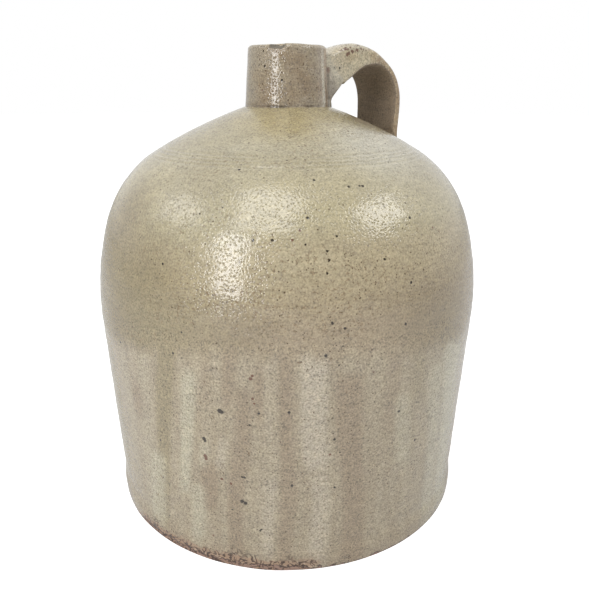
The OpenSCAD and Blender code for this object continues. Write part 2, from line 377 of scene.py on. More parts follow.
def rings(centre, radius, angle, side):
    """Throwing rings, as shallow grooves counted from the seam."""
    steps = range(RING_COUNT * 6 + 1)
    depths = [RING_DEPTH * math.sin(math.pi * i / 6) ** 2 for i in steps]
    return [
        centre + (radius - depth) * polar(angle + side * i / 6 * RING_PITCH / radius)
        for i, depth in zip(steps, depths)
    ]


def pot_outline():
    foot_r = foot_radius(0)
    under = [Vector(point) for point in ((0, DISH), (DISH_R, DISH), (SLOPE_R, DISH * 0.7), (FOOT_IN_R, 0))]
    edge = arc(Vector((foot_r - FOOT_EDGE, FOOT_EDGE)), FOOT_EDGE, -math.pi / 2, 0, 4)
    top = belly_c.y - BELLY_ARC * math.sin(lean)
    rows = round((top - FOOT_EDGE) / WALL_PITCH)
    heights = [FOOT_EDGE + (top - FOOT_EDGE) * i / rows for i in range(1, rows)]
    return (
        under
        + edge
        + [Vector((surface_radius(z), z)) for z in heights]
        + arc(belly_c, BELLY_ARC, -lean, seam_a, 12)
        + seam(belly_c, BELLY_ARC, seam_a)[1:]
        + arc(belly_c, BELLY_ARC - WALL, seam_a, -lean, 6)[1:]
        + arc(fillet_c, FLOOR_ROUND, -lean, -math.pi / 2, 8)
        + [Vector((0, FLOOR))]
    )


def shoulder_outline():
    return (
        arc(belly_c, BELLY_ARC, seam_a, BELLY_SLOPE, 30)
        + arc(shoulder_c, SHOULDER_ARC, BELLY_SLOPE, CROWN_SLOPE - ring_turn / SHOULDER_ARC, 30)[1:]
        + rings(shoulder_c, SHOULDER_ARC, CROWN_SLOPE, -1)[::-1][1:]
        + seam(shoulder_c, SHOULDER_ARC, CROWN_SLOPE)[1:]
        + arc(shoulder_c, SHOULDER_ARC - WALL, CROWN_SLOPE, BELLY_SLOPE, 14)[1:]
        + arc(belly_c, BELLY_ARC - WALL, BELLY_SLOPE, seam_a, 8)[1:]
        + seam(belly_c, BELLY_ARC, seam_a)[::-1][1:-1]
    )


def crown_outline():
    throat_top = Vector((MOUTH_R, seat_z))
    way = Vector((math.sin(THROAT_SLOPE), -math.cos(THROAT_SLOPE)))
    start = throat_top - crown_c
    inner_r = CROWN_ARC - WALL
    down = way.dot(start) + math.sqrt(way.dot(start) ** 2 - start.dot(start) + inner_r**2)
    throat_a = math.acos((throat_top - down * way - crown_c).x / inner_r)
    return (
        rings(crown_c, CROWN_ARC, CROWN_SLOPE, 1)
        + arc(crown_c, CROWN_ARC, CROWN_SLOPE + ring_turn / CROWN_ARC, neck_a, 36)[1:]
        + [Vector((NECK_R, seat_z)), throat_top]
        + arc(crown_c, inner_r, throat_a, CROWN_SLOPE, 14)
        + seam(shoulder_c, SHOULDER_ARC, CROWN_SLOPE)[::-1][1:-1]
    )


def neck_outline():
    low = Vector((NECK_R, neck_z))
    high = Vector((LIP_R, lip_z - LIP_ROUND))
    inside = Vector((MOUTH_R, lip_z - LIP_ROUND))
    bottom = Vector((MOUTH_R, seat_z))
    outer_top, inner_top = Vector((LIP_R - LIP_ROUND, lip_z)), Vector((MOUTH_R + LIP_ROUND, lip_z))
    return (
        [Vector((NECK_R, seat_z))]
        + [low.lerp(high, i / 30) for i in range(30)]
        + arc(Vector((LIP_R - LIP_ROUND, lip_z - LIP_ROUND)), LIP_ROUND, 0, math.pi / 2, 8)
        + [outer_top.lerp(inner_top, i / 4) for i in range(1, 4)]
        + arc(Vector((MOUTH_R + LIP_ROUND, lip_z - LIP_ROUND)), LIP_ROUND, math.pi / 2, math.pi, 8)
        + [inside.lerp(bottom, i / 12) for i in range(1, 13)]
    )


def spin(outline, shut):
    """The turned solid of an outline in the plane of +X."""
    bm = bmesh.new()
    verts = [bm.verts.new((point.x, 0, point.y)) for point in outline]
    pairs = list(zip(verts, verts[1:]))
    if shut:
        pairs.append((verts[-1], verts[0]))
    edges = [bm.edges.new(pair) for pair in pairs]
    bmesh.ops.spin(
        bm, geom=verts + edges, cent=(0, 0, 0), axis=(0, 0, 1), angle=TURN, steps=ROUND, use_merge=True
    )
    bmesh.ops.remove_doubles(bm, verts=bm.verts, dist=0.001 * MM)
    bmesh.ops.recalc_face_normals(bm, faces=bm.faces)
    return bm


def shape_wall(bm):
    """Moves the outside of a turned body piece in to where a hand-thrown wall would be."""
    for vert in bm.verts:
        if surface_radius(vert.co.z) - math.hypot(vert.co.x, vert.co.y) < OUTSIDE:
            vert.co -= slope_normal(vert.co) * hand_depth(vert.co)


def shape_neck(bm):
    """An uneven lip with a break in it, a soft waist, and a gap where the neck meets the crown."""
    axis = Vector((0, 0, 1))
    for vert in bm.verts:
        point = vert.co.copy()
        out = Vector((point.x, point.y, 0))
        turn = out.normalized()
        share = ease(point.z, lip_z - RIM_SWAY_H, lip_z)
        rim = RIM_SWAY * drift(turn * 1.3, 1, 21) * share
        chip = chip_share(point) * LIP_CHIP_DEPTH
        vert.co -= axis * (rim + chip * share)
        if out.length > NECK_OUTSIDE and point.z > neck_z - 0.1 * MM:
            gap = FOOT_GAP * ease(neck_z + FOOT_GAP_H - point.z, 0, FOOT_GAP_H) * drift(turn * 2, 1, 6)
            waist = NECK_WAIST * math.sin(math.pi * min(1, max(0, (point.z - neck_z) / NECK_H)))
            hand = NECK_DENTS * drift(point, NECK_DENTS_SIZE, 13)
            hand += NECK_LINES * drift(turn * 0.6 + axis * point.z / NECK_LINES_SIZE, 1, 2)
            vert.co -= turn * (gap + waist + hand + chip * 0.5)


# The strap handle and the web under its root.

crest_arc_r = BEND_R + (REACH - CREST_X - BEND_R) / math.sin(BEND_SLOPE)
crest_c = Vector((CREST_X, lip_z + CREST_RISE - crest_arc_r))
bend_c = crest_c + (crest_arc_r - BEND_R) * polar(math.pi / 2 - BEND_SLOPE)
low_c = Vector((REACH - LOW_ARC, bend_c.y))
STRAP_ROUND, END_ROUND = 3 * MM, 11 * MM
END_SUNK = 5 * MM
ROOT_R, ROOT_DIP, ROOT_T = 19.5 * MM, 2.6 * MM, 9 * MM

# How the strap's section changes along it: the thumb's press and the rolled edge end between two
# distances from the axis, and the bead is thicker between four distances, as the knee is passed.
PRESS, PRESS_FROM, PRESS_TO = 2.6 * MM, 44 * MM, 60 * MM
ROLL, ROLL_FROM, ROLL_TO, ROLL_START_SHARE = 2 * MM, 28 * MM, 42 * MM, 0.14
BEAD, BEAD_AT_KNEE = 1.8 * MM, 1.2 * MM
KNEE_FROM, KNEE_IN, KNEE_OUT, KNEE_TO = 33 * MM, 38 * MM, 42 * MM, 52 * MM
STRAP_CROWN = 0.9 * MM

# The web: its half width, its radius behind and at its corners, the flare of its foot, the smear
# under the knee, how far it is set in, how far it runs on below and above, and the heights over
# which the flares, the smear and the corners change.
WEB_HALF, WEB_HALF_FLARE, WEB_BACK_R = 16.8 * MM, 0.9 * MM, 19 * MM
WEB_CORNER, WEB_CORNER_FOOT = 5 * MM, 5 * MM
WEB_FLARE, WEB_SIDE_FLARE, WEB_SMEAR, WEB_IN = 0.9 * MM, 0.8 * MM, 1.6 * MM, 0.3 * MM
WEB_BELOW, WEB_ABOVE = 3 * MM, 15 * MM
WEB_FLARE_H, WEB_FLARE_EASE = 4 * MM, 5 * MM
WEB_SMEAR_FROM, WEB_SMEAR_TO, WEB_WIDEN_H = 2 * MM, 7 * MM, 10 * MM
WEB_CORNER_FROM, WEB_CORNER_TO = 2 * MM, 11 * MM

# The marks of fingers on the strap and on the web: their depth and size.
STRAP_DENTS, WEB_DENTS = (0.5 * MM, 16 * MM), (0.4 * MM, 8 * MM)

# The fold where the web leaves the strap, with a painted highlight along it: a point on it, and
# how it falls away from the neck.
FOLD_X, FOLD_Z, FOLD_FALL = 16.5 * MM, 274 * MM, 1.05


def outer_face(slope):
    """The point of the strap's outer face where it slopes that much downwards."""
    turn = polar(math.pi / 2 - slope)
    if slope < BEND_SLOPE:
        return crest_c + crest_arc_r * turn
    if slope < math.pi / 2:
        return bend_c + BEND_R * turn
    return low_c + LOW_ARC * turn


def crest_slope(x):
    return math.asin((x - CREST_X) / crest_arc_r)


hole_x = REACH - STRAP_T - HOLE_R
hole_top = outer_face(crest_slope(hole_x)) - Vector((0, ARCH_T))
hole_arc_r = (hole_x - NECK_R - WEB_REACH) / math.sin(WEB_SLOPE)
straight_up = polar(math.pi / 2)
knee = hole_top + hole_arc_r * (polar(math.pi / 2 + WEB_SLOPE) - straight_up)
low_end = outer_face(math.pi / 2 + LOW_SLOPE)
inner_end = Vector((REACH - STRAP_T, low_end.y))
web_foot = Vector((NECK_R + WEB_FOOT, neck_z))


def on_shoulder(radius, rise):
    return shoulder_c + (SHOULDER_ARC + rise) * polar(math.acos((radius - shoulder_c.x) / SHOULDER_ARC))


def curve(a, b, c, share):
    return (1 - share) ** 2 * a + 2 * share * (1 - share) * b + share**2 * c


def strap_stations():
    """Outer point, inner point, width, corner radius and share of wrap, from the root down."""
    root_low = outer_face(crest_slope(ROOT_R)) - Vector((0, ROOT_DIP + ROOT_T))
    stations = []
    for i in range(7):
        share = i / 7
        outer = outer_face(crest_slope(ROOT_R * (1 - share) + knee.x * share))
        outer = outer - Vector((0, ROOT_DIP * (1 - share) ** 1.5))
        stations.append((outer, root_low.lerp(knee, share), STRAP_W, STRAP_ROUND, 0))
    for i in range(9):
        share = i / 8
        outer = outer_face(crest_slope(knee.x) * (1 - share) + crest_slope(hole_x) * share)
        inner = hole_top + hole_arc_r * (polar(math.pi / 2 + WEB_SLOPE * (1 - share)) - straight_up)
        stations.append((outer, inner, STRAP_W, STRAP_ROUND, 0))
    for i in range(1, 25):
        share = i / 24
        outer = outer_face(crest_slope(hole_x) * (1 - share) + math.pi / 2 * share)
        inner = hole_top + HOLE_R * (polar(math.pi / 2 * (1 - share)) - straight_up)
        stations.append((outer, inner, STRAP_W, STRAP_ROUND, 0))
    hole_side = Vector((inner_end.x, hole_top.y - HOLE_R))
    for share in (0.33, 0.67, 1):
        outer = outer_face(math.pi / 2 + LOW_SLOPE * share)
        stations.append((outer, hole_side.lerp(inner_end, share), STRAP_W, STRAP_ROUND, 0))
    end_out = on_shoulder(REACH + END_RUN, END_EDGE)
    end_in = on_shoulder(REACH - STRAP_T - END_RISE, END_EDGE)
    for i in range(1, 15):
        share = i / 14
        spread = share * share
        above_out = Vector((low_end.x, on_shoulder(low_end.x, 2 * END_EDGE).y))
        above_in = Vector((inner_end.x, on_shoulder(inner_end.x, 2 * END_EDGE).y))
        width = STRAP_W + (END_W - STRAP_W) * spread
        corner = STRAP_ROUND + (END_ROUND - STRAP_ROUND) * spread
        outer = curve(low_end, above_out, end_out, share)
        stations.append((outer, curve(inner_end, above_in, end_in, share), width, corner, share))
    sink = Vector((end_in.y - end_out.y, end_out.x - end_in.x)).normalized() * END_SUNK
    stations.append((end_out - sink, end_in - sink, END_W, END_ROUND, 1))
    return stations


def strap_ring(station, first):
    """A rounded rectangle across the strap; near the root a thumb has pressed its top down and
    rolled its near edge over, and the near edge of its inner face is a thicker bead."""
    outer, inner, width, corner, wrap = station
    pressed = PRESS * (1 - ease(outer.x, PRESS_FROM, PRESS_TO))
    rolled = ROLL * (1 - ease(outer.x, ROLL_FROM, ROLL_TO))
    at_knee = ease(inner.x, KNEE_FROM, KNEE_IN) * (1 - ease(inner.x, KNEE_OUT, KNEE_TO))
    bead = (BEAD + BEAD_AT_KNEE * at_knee) * (1 - ease(wrap, 0, 0.3))
    across = (outer - inner).length
    radius = min(corner, 0.45 * across)
    rise = (outer - inner) / across
    flat, tall = width / 2 - radius, across / 2 - radius
    ring = []
    corners = ((1, 1, 0), (-1, 1, 1), (-1, -1, 2), (1, -1, 3))
    for index, (sy, sz, quarter) in enumerate(corners):
        for i in range(7):
            turn = polar(math.pi / 2 * (quarter + i / 6))
            ring.append(Vector((sy * flat + radius * turn.x, sz * tall + radius * turn.y)))
        after = corners[(index + 1) % 4]
        start = ring[-1]
        end_turn = polar(math.pi / 2 * (quarter + 1))
        end = Vector((after[0] * flat + radius * end_turn.x, after[1] * tall + radius * end_turn.y))
        count = 10 if sz == after[1] else 4
        ring += [start.lerp(end, i / count) for i in range(1, count)]
    points = []
    for y, height in ring:
        top_share = max(0, height / (across / 2))
        crown = STRAP_CROWN * (2 * y / width) ** 2 * top_share
        thumb = pressed * ease(y, -0.45 * width, 0) * top_share
        roll_share = max(0, -y / width - ROLL_START_SHARE) / (0.5 - ROLL_START_SHARE)
        roll = rolled * roll_share**2 * top_share
        low_share = max(0, -height / (across / 2)) * ease(-y, 0, 0.5 * width)
        place = (outer + inner) / 2 + (height - crown - thumb - roll - bead * low_share) * rise
        bend = y / place.x
        x = place.x - wrap * place.x * (1 - math.cos(bend))
        if first:
            x = math.sqrt(ROOT_R**2 - y * y)
        points.append(Vector((x, y + wrap * (place.x * math.sin(bend) - y), place.y)))
    return points


def web_rings():
    """The web's outline at each height, wrapped round the neck behind."""
    step = knee - web_foot
    radius = step.dot(step) / (2 * step.x)
    rings_up = []
    bottom, top = web_foot.y - WEB_BELOW, knee.y + WEB_ABOVE
    for i in range(19):
        z = bottom + (top - bottom) * i / 18
        climb = min(max(z - web_foot.y, 0), step.y)
        foot_flare = ease(web_foot.y + WEB_FLARE_H - z, 0, WEB_FLARE_EASE)
        smear = ease(z, web_foot.y, knee.y) * (1 - ease(z, knee.y + WEB_SMEAR_FROM, knee.y + WEB_SMEAR_TO))
        reach = web_foot.x + radius - math.sqrt(radius**2 - climb**2) + max(0, z - knee.y) * FOLD_FALL
        reach += WEB_FLARE * foot_flare + WEB_SMEAR * smear - WEB_IN
        half = WEB_HALF + WEB_HALF_FLARE * ease(z, knee.y - WEB_WIDEN_H, knee.y)
        half += WEB_SIDE_FLARE * foot_flare
        low = 1 - ease(z, web_foot.y + WEB_CORNER_FROM, web_foot.y + WEB_CORNER_TO)
        corner = WEB_CORNER + WEB_CORNER_FOOT * low
        side_x = math.sqrt(WEB_BACK_R**2 - half**2)
        ring = [Vector((side_x, -half, z))]
        for side in (-1, 1):
            for j in range(8):
                turn = side * (j if side > 0 else 7 - j) / 7 * math.pi / 2
                x = max(side_x, reach - corner + corner * math.cos(turn))
                ring.append(Vector((x, side * (half - corner) + corner * math.sin(turn), z)))
        ring.append(Vector((side_x, half, z)))
        for j in range(1, 10):
            y = half * (1 - 2 * j / 10)
            ring.append(Vector((math.sqrt(WEB_BACK_R**2 - y * y), y, z)))
        rings_up.append(ring)
    return rings_up


def close_across(bm, verts):
    """Closes a strap ring with a strip from each top vertex to the one below it, so that the end
    follows the curve of the neck."""
    count = len(verts)
    last = count - 4
    middle = last // 2
    for i in range(middle - 1):
        bmesh.ops.contextual_create(bm, geom=[verts[i], verts[i + 1], verts[last - i - 1], verts[last - i]])
    bmesh.ops.contextual_create(bm, geom=verts[middle - 1 : middle + 2])
    bmesh.ops.contextual_create(bm, geom=[verts[count - 1], verts[0], verts[last], verts[last + 1]])
    bmesh.ops.contextual_create(bm, geom=verts[last + 1 :])


def loft(rings_of_points, curved_end=False):
    """A closed skin through rings of points."""
    bm = bmesh.new()
    loops = []
    for ring in rings_of_points:
        verts = [bm.verts.new(point) for point in ring]
        loops.append([bm.edges.new((a, b)) for a, b in zip(verts, verts[1:] + verts[:1])])
        if curved_end and len(loops) == 1:
            close_across(bm, verts)
    if not curved_end:
        bmesh.ops.edgeloop_fill(bm, edges=loops[0])
    bmesh.ops.edgeloop_fill(bm, edges=loops[-1])
    for lower, upper in zip(loops, loops[1:]):
        bmesh.ops.bridge_loops(bm, edges=lower + upper)
    bmesh.ops.recalc_face_normals(bm, faces=bm.faces)
    return bm


def roughen(bm, amount, size, seed):
    """Moves a skin in by soft noise, as fingers leave it."""
    bm.normal_update()
    moves = [(vert, vert.normal * amount * drift(vert.co, size, seed)) for vert in bm.verts]
    for vert, move in moves:
        vert.co -= move


def bare_line_height(point):
    """The height of the lower edge of the glaze above the floor, in centimetres."""
    left = apart(turn_of(point), bare_turn)
    return 0.05 + 0.3 * ease(BARE_HALF - left, -0.03, 0.12) + 0.2 * (drift(point, 9 * MM, 31) - 0.5)


def handle_shade_share(point):
    """1 on the crown under the handle, where painted shade goes."""
    reach = math.hypot(point.x, point.y) + 14 * MM * (drift(point, 15 * MM, 9) - 0.5)
    side = apart(turn_of(point), 0) + 0.3 * (drift(point, 11 * MM, 17) - 0.5)
    band = ease(HANDLE_SHADE_OUT - reach, 0, 11 * MM) * ease(reach - HANDLE_SHADE_IN, 0, 6 * MM)
    return band * ease(HANDLE_SHADE_HALF - side, 0, 0.2) if point.z > HANDLE_SHADE_LOW else 0


HOLLOW = ("thrown_pot", "shoulder_section", "crown_cap", "collar_neck")
# The angle at which an edge stays sharp, how far in from the foot's line the runs are marked, and
# how far past the mouth the slip comes.
SHARP_EDGE = math.radians(50)
RUNS_REACH_IN = 3 * MM
SLIP_EDGE = 0.6 * MM


def finish(bm, name, node, material, mark):
    """A smooth object from a mesh, with its marks, in place of a CAD node."""
    for edge in bm.edges:
        edge.smooth = edge.calc_face_angle(0) < SHARP_EDGE
    for face in bm.faces:
        place = face.calc_center_median()
        radius = math.hypot(place.x, place.y)
        if name in HOLLOW and radius < inner_limit(place.z):
            face.material_index = 1
    mesh = bpy.data.meshes.new(name)
    bm.to_mesh(mesh)
    bm.free()
    mesh.materials.append(material)
    if name in HOLLOW:
        mesh.materials.append(slip)
    mesh.shade_smooth()
    if name == "thrown_pot":
        runs = mesh.attributes.new("runs", "FLOAT_COLOR", "POINT")
        for index, vert in enumerate(mesh.vertices):
            outside = math.hypot(vert.co.x, vert.co.y) > foot_line - RUNS_REACH_IN
            runs.data[index].color = run_amounts(vert.co) if outside else (0, 0, 0, 0)
    marks = mesh.attributes.new("marks", "FLOAT_COLOR", "POINT")
    for index, vert in enumerate(mesh.vertices):
        marks.data[index].color = mark(vert)
    piece = bpy.data.objects.new(name, mesh)
    bpy.context.scene.collection.objects.link(piece)
    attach(piece, "root")
    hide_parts(node)
    return piece


def inner_limit(z):
    """Half way through the wall, and a little inside the mouth of the neck."""
    if z > seat_z:
        return MOUTH_R + SLIP_EDGE
    return surface_radius(max(z, FLOOR)) - WALL / 2 if z > FLOOR * 0.9 else 0


def body_mark(vert):
    bare_line = bare_line_height(vert.co) if vert.co.z < GLAZE_EDGE_TOP else 0
    return (0, bare_line, handle_shade_share(vert.co), 0)


def neck_mark(vert):
    return (chip_share(vert.co), 0, 0, 0)


def strap_mark(vert):
    """The inner face is the one that looks into the finger hole."""
    into = Vector((hole_x, 0, hole_top.y - HOLE_R)) - vert.co
    into.y = 0
    return (0, 0, 0, ease(vert.normal.dot(into.normalized()), 0.1, 0.7))


# Shader helpers: nodes, sums and shared effects.


def add(tree, kind, values=None, **settings):
    node = tree.nodes.new("ShaderNode" + kind)
    for name, value in settings.items():
        setattr(node, name, value)
    for name, value in (values or {}).items():
        if isinstance(value, bpy.types.NodeSocket):
            tree.links.new(value, node.inputs[name])
        else:
            node.inputs[name].default_value = value
    return node


def calc(tree, operation, *values):
    return add(tree, "Math", dict(enumerate(values)), operation=operation).outputs[0]


def times(tree, a, b):
    return calc(tree, "MULTIPLY", a, b)


def blend(tree, factor, a, b, mode="MIX"):
    node = add(tree, "Mix", data_type="RGBA", blend_type=mode, clamp_factor=True)
    for socket, value in ((node.inputs[0], factor), (node.inputs[6], a), (node.inputs[7], b)):
        if isinstance(value, bpy.types.NodeSocket):
            tree.links.new(value, socket)
        else:
            socket.default_value = (*value, 1) if isinstance(value, tuple) else value
    return node.outputs[2]


def lay(tree, colour, over, mask, strength):
    """A colour with another laid over it where a mask says, at most that strongly."""
    return blend(tree, times(tree, mask, strength), colour, over)


def smooth_step(tree, value, low, high):
    values = {"Value": value, "From Min": low, "From Max": high}
    return add(tree, "MapRange", values, interpolation_type="SMOOTHSTEP").outputs["Result"]


def fall(tree, value, low, high):
    """1 up to low, 0 from high."""
    return calc(tree, "SUBTRACT", 1, smooth_step(tree, value, low, high))


def clouds(tree, place, scale, detail):
    return add(tree, "TexNoise", {"Vector": place, "Scale": scale, "Detail": detail}).outputs["Fac"]


def centred(tree, value):
    return calc(tree, "SUBTRACT", value, 0.5)


def distance(tree, place, centre):
    return add(tree, "VectorMath", {0: place, 1: centre}, operation="DISTANCE").outputs["Value"]


def along(tree, place, direction):
    return add(tree, "VectorMath", {0: place, 1: direction}, operation="DOT_PRODUCT").outputs["Value"]


def stretched(tree, place, scale):
    return add(tree, "Mapping", {"Vector": place, "Scale": scale}).outputs[0]


def patch(tree, place, centre, cloud, wander, full, end):
    """1 near a point and 0 beyond, with an edge that a cloud moves about."""
    return fall(tree, calc(tree, "MULTIPLY_ADD", cloud, wander, distance(tree, place, centre)), full, end)


def effect(name, inputs, outputs, build):
    """A shared node group; build gets the tree and its inputs and returns its outputs."""
    tree = bpy.data.node_groups.new(name, "ShaderNodeTree")
    for label, value in inputs:
        tree.interface.new_socket(label, in_out="INPUT", socket_type="NodeSocketFloat").default_value = value
    for label in outputs:
        tree.interface.new_socket(label, in_out="OUTPUT", socket_type="NodeSocketFloat")
    given = tree.nodes.new("NodeGroupInput")
    result = tree.nodes.new("NodeGroupOutput")
    for label, socket in zip(outputs, build(tree, given.outputs)):
        tree.links.new(socket, result.inputs[label])
    return tree


def use(tree, group, **values):
    node = tree.nodes.new("ShaderNodeGroup")
    node.node_tree = group
    for name, value in values.items():
        socket = node.inputs[name.replace("_", " ").capitalize()]
        if isinstance(value, bpy.types.NodeSocket):
            tree.links.new(value, socket)
        else:
            socket.default_value = value
    return node.outputs


def object_place(tree):
    return add(tree, "TexCoord").outputs["Object"]


def height_on_jug(tree):
    return add(tree, "SeparateXYZ", {"Vector": object_place(tree)}).outputs["Z"]


def warped(tree, place, scale, amount):
    """A place moved about by soft noise, so that what follows isn't regular."""
    colours = add(tree, "TexNoise", {"Vector": place, "Scale": scale, "Detail": 2}).outputs["Color"]
    move = add(tree, "VectorMath", {0: colours, 1: (0.5, 0.5, 0.5)}, operation="SUBTRACT").outputs[0]
    moved = add(tree, "VectorMath", {0: move, "Scale": amount}, operation="SCALE").outputs[0]
    return add(tree, "VectorMath", {0: place, 1: moved}, operation="ADD").outputs[0]


def build_orange_peel(tree, given):
    """Glaze like the skin of an orange: a pit in each cell of a loose lattice, and a fine grain."""
    place = warped(tree, object_place(tree), 260, 1.6 * MM)
    scale = calc(tree, "DIVIDE", 1, given["Cell"])
    cells = add(tree, "TexVoronoi", {"Vector": place, "Scale": scale}, feature="F1")
    away = cells.outputs["Distance"]
    depth = add(tree, "MapRange", {"Value": away, "From Max": 0.62, "To Min": 1, "To Max": 0})
    level = calc(tree, "SUBTRACT", 1, calc(tree, "POWER", depth.outputs["Result"], 1.6))
    fine_scale = times(tree, scale, 2.6)
    fine = clouds(tree, place, fine_scale, 2)
    return [calc(tree, "MULTIPLY_ADD", fine, given["Grain"], level)]


def build_iron_specks(tree, given):
    """Round and ragged specks, one in a share of the cells of a loose lattice."""
    place = warped(tree, object_place(tree), 900, 0.5 * MM)
    moved = add(tree, "VectorMath", {0: place, 1: given["Seed"]}, operation="ADD").outputs[0]
    scale = calc(tree, "DIVIDE", 1, given["Spacing"])
    cells = add(tree, "TexVoronoi", {"Vector": moved, "Scale": scale})
    chance = add(tree, "SeparateColor", {"Color": cells.outputs["Color"]}).outputs
    away = times(tree, cells.outputs["Distance"], given["Spacing"])
    size = times(tree, given["Size"], calc(tree, "MULTIPLY_ADD", chance["Green"], 0.8, 0.35))
    low, high = times(tree, size, -0.25), times(tree, size, 0.35)
    inside = smooth_step(tree, calc(tree, "SUBTRACT", size, away), low, high)
    chosen = calc(tree, "LESS_THAN", chance["Red"], given["Share"])
    return [times(tree, inside, chosen)]


orange_peel = effect("orange peel", [("Cell", 0.002), ("Grain", 0.3)], ["Height"], build_orange_peel)
iron_specks = effect(
    "iron specks",
    [("Spacing", 0.006), ("Size", 0.0005), ("Share", 0.5), ("Seed", 0)],
    ["Mask"],
    build_iron_specks,
)


GLAZE_IOR = 1.7


def new_material(name):
    material = bpy.data.materials.new(name)
    material.use_nodes = True
    tree = material.node_tree
    shader = tree.nodes["Principled BSDF"]
    shader.inputs["IOR"].default_value = GLAZE_IOR
    return material, tree, shader


def tone(red, green, blue):
    """A linear colour from screen values out of 255."""
    return tuple(((value / 255 + 0.055) / 1.055) ** 2.4 for value in (red, green, blue))


SHOULDER_TAN = tone(180, 170, 140)
SHOULDER_GREY = tone(182, 175, 152)
CROWN_OLIVE = tone(170, 157, 120)
CROWN_TAN = tone(166, 156, 127)
CROWN_PALE = tone(190, 184, 164)
BELLY_TAN = tone(178, 165, 136)
BELT_BROWN = tone(161, 146, 121)
BELT_OLIVE = tone(148, 137, 106)
# Olive with painted shade, for the left side of the body.
SIDE_OLIVE_AND_SHADE = tone(144, 132, 103)
# Darker brown for smudges on the belt, and for painted shade on the shoulder.
SMUDGE_AND_SHADE_BROWN = tone(130, 117, 91)
WALL_MID = tone(168, 156, 133)
WALL_SHADE = tone(160, 147, 124)
RUN_PALE = tone(180, 169, 149)
RUN_SAGE = tone(184, 177, 154)
RUN_BROWN = tone(151, 136, 114)
RUN_OLIVE = tone(150, 138, 110)
FOOT_BROWN = tone(146, 128, 106)
BARE_CLAY = tone(158, 129, 114)
BARE_EDGE = tone(66, 47, 36)
CRUST = tone(172, 140, 114)
CRUST_PALE = tone(196, 172, 150)
# Painted shade under the handle; the darker one is also painted shade in creases and grooves.
UNDER_HANDLE_SHADE = tone(134, 118, 86)
PAINTED_SHADE_DARK = tone(84, 70, 52)
NECK_GREY = tone(161, 149, 129)
NECK_BROWN = tone(146, 130, 108)
NECK_WARM = tone(172, 150, 126)
# Olive with painted shade, for the neck's left side.
NECK_OLIVE_AND_SHADE = tone(128, 118, 92)
CHIP_GREY = tone(114, 106, 92)
# Wear and a painted highlight along the top of the lip.
RIM_WEAR_AND_HIGHLIGHT = tone(184, 170, 142)
WEB_GREY = tone(160, 151, 136)
WEB_PALE = tone(182, 173, 157)
WEB_FOOT_BROWN = tone(142, 132, 112)
# Pale for painted highlights: the strap's top, the fold at its root and the neck's edge.
PAINTED_HIGHLIGHT_PALE = tone(198, 190, 170)
STRAP_TAN = tone(196, 185, 157)
STRAP_BROWN = tone(182, 167, 136)
STRAP_ROOT = tone(202, 192, 170)
STRAP_INSIDE = tone(128, 112, 92)
STRAP_EDGE = tone(156, 131, 103)
PEPPER = tone(80, 62, 42)
PIT_BROWN = tone(122, 101, 76)
IRON = tone(40, 32, 25)
RUST = tone(100, 58, 42)
STAIN_RED = tone(148, 98, 80)
SLIP = tone(72, 46, 30)
SLIP_PALE = tone(98, 66, 42)


def height_ramp(tree, height, stops):
    """Colours up the jug; each stop is a height in metres and a colour."""
    low, high = stops[0][0], stops[-1][0]
    share = add(tree, "MapRange", {"Value": height, "From Min": low, "From Max": high}).outputs["Result"]
    node = add(tree, "ValToRGB", {"Fac": share})
    node.color_ramp.interpolation = "EASE"
    elements = node.color_ramp.elements
    while len(elements) < len(stops):
        elements.new(0.5)
    for element, (z, colour) in zip(elements, stops):
        element.position = (z - low) / (high - low)
    for element, (z, colour) in zip(elements, stops):
        element.color = (*colour, 1)
    return node.outputs["Color"]


def marks_of(tree):
    """The piece's marks: chips, the edge of its glaze, painted shade under the handle, and inner parts."""
    node = add(tree, "Attribute", attribute_name="marks")
    parts = add(tree, "SeparateColor", {"Color": node.outputs["Color"]}).outputs
    return parts["Red"], parts["Green"], parts["Blue"], node.outputs["Alpha"]


def mottled(tree, colour, peel, grain_depth):
    """Small changes of shade: a fine grain, and darker hollows between the pebbles of glaze."""
    here = object_place(tree)
    grain = clouds(tree, here, 1050, 4)
    thrown = stretched(tree, here, (0.18, 0.18, 1))
    lines = clouds(tree, thrown, 700, 3)
    blotch = clouds(tree, here, 190, 3)
    shade = calc(tree, "MULTIPLY_ADD", centred(tree, grain), grain_depth, 0.35)
    shade = calc(tree, "MULTIPLY_ADD", lines, 0.54, shade)
    shade = calc(tree, "MULTIPLY_ADD", blotch, 0.24, shade)
    shade = calc(tree, "MULTIPLY_ADD", peel, 0.32, shade)
    warm = calc(tree, "MULTIPLY_ADD", centred(tree, blotch), -0.1, shade)
    tint = add(tree, "CombineColor", {"Red": shade, "Green": shade, "Blue": warm}).outputs[0]
    return blend(tree, 1, colour, tint, "MULTIPLY")


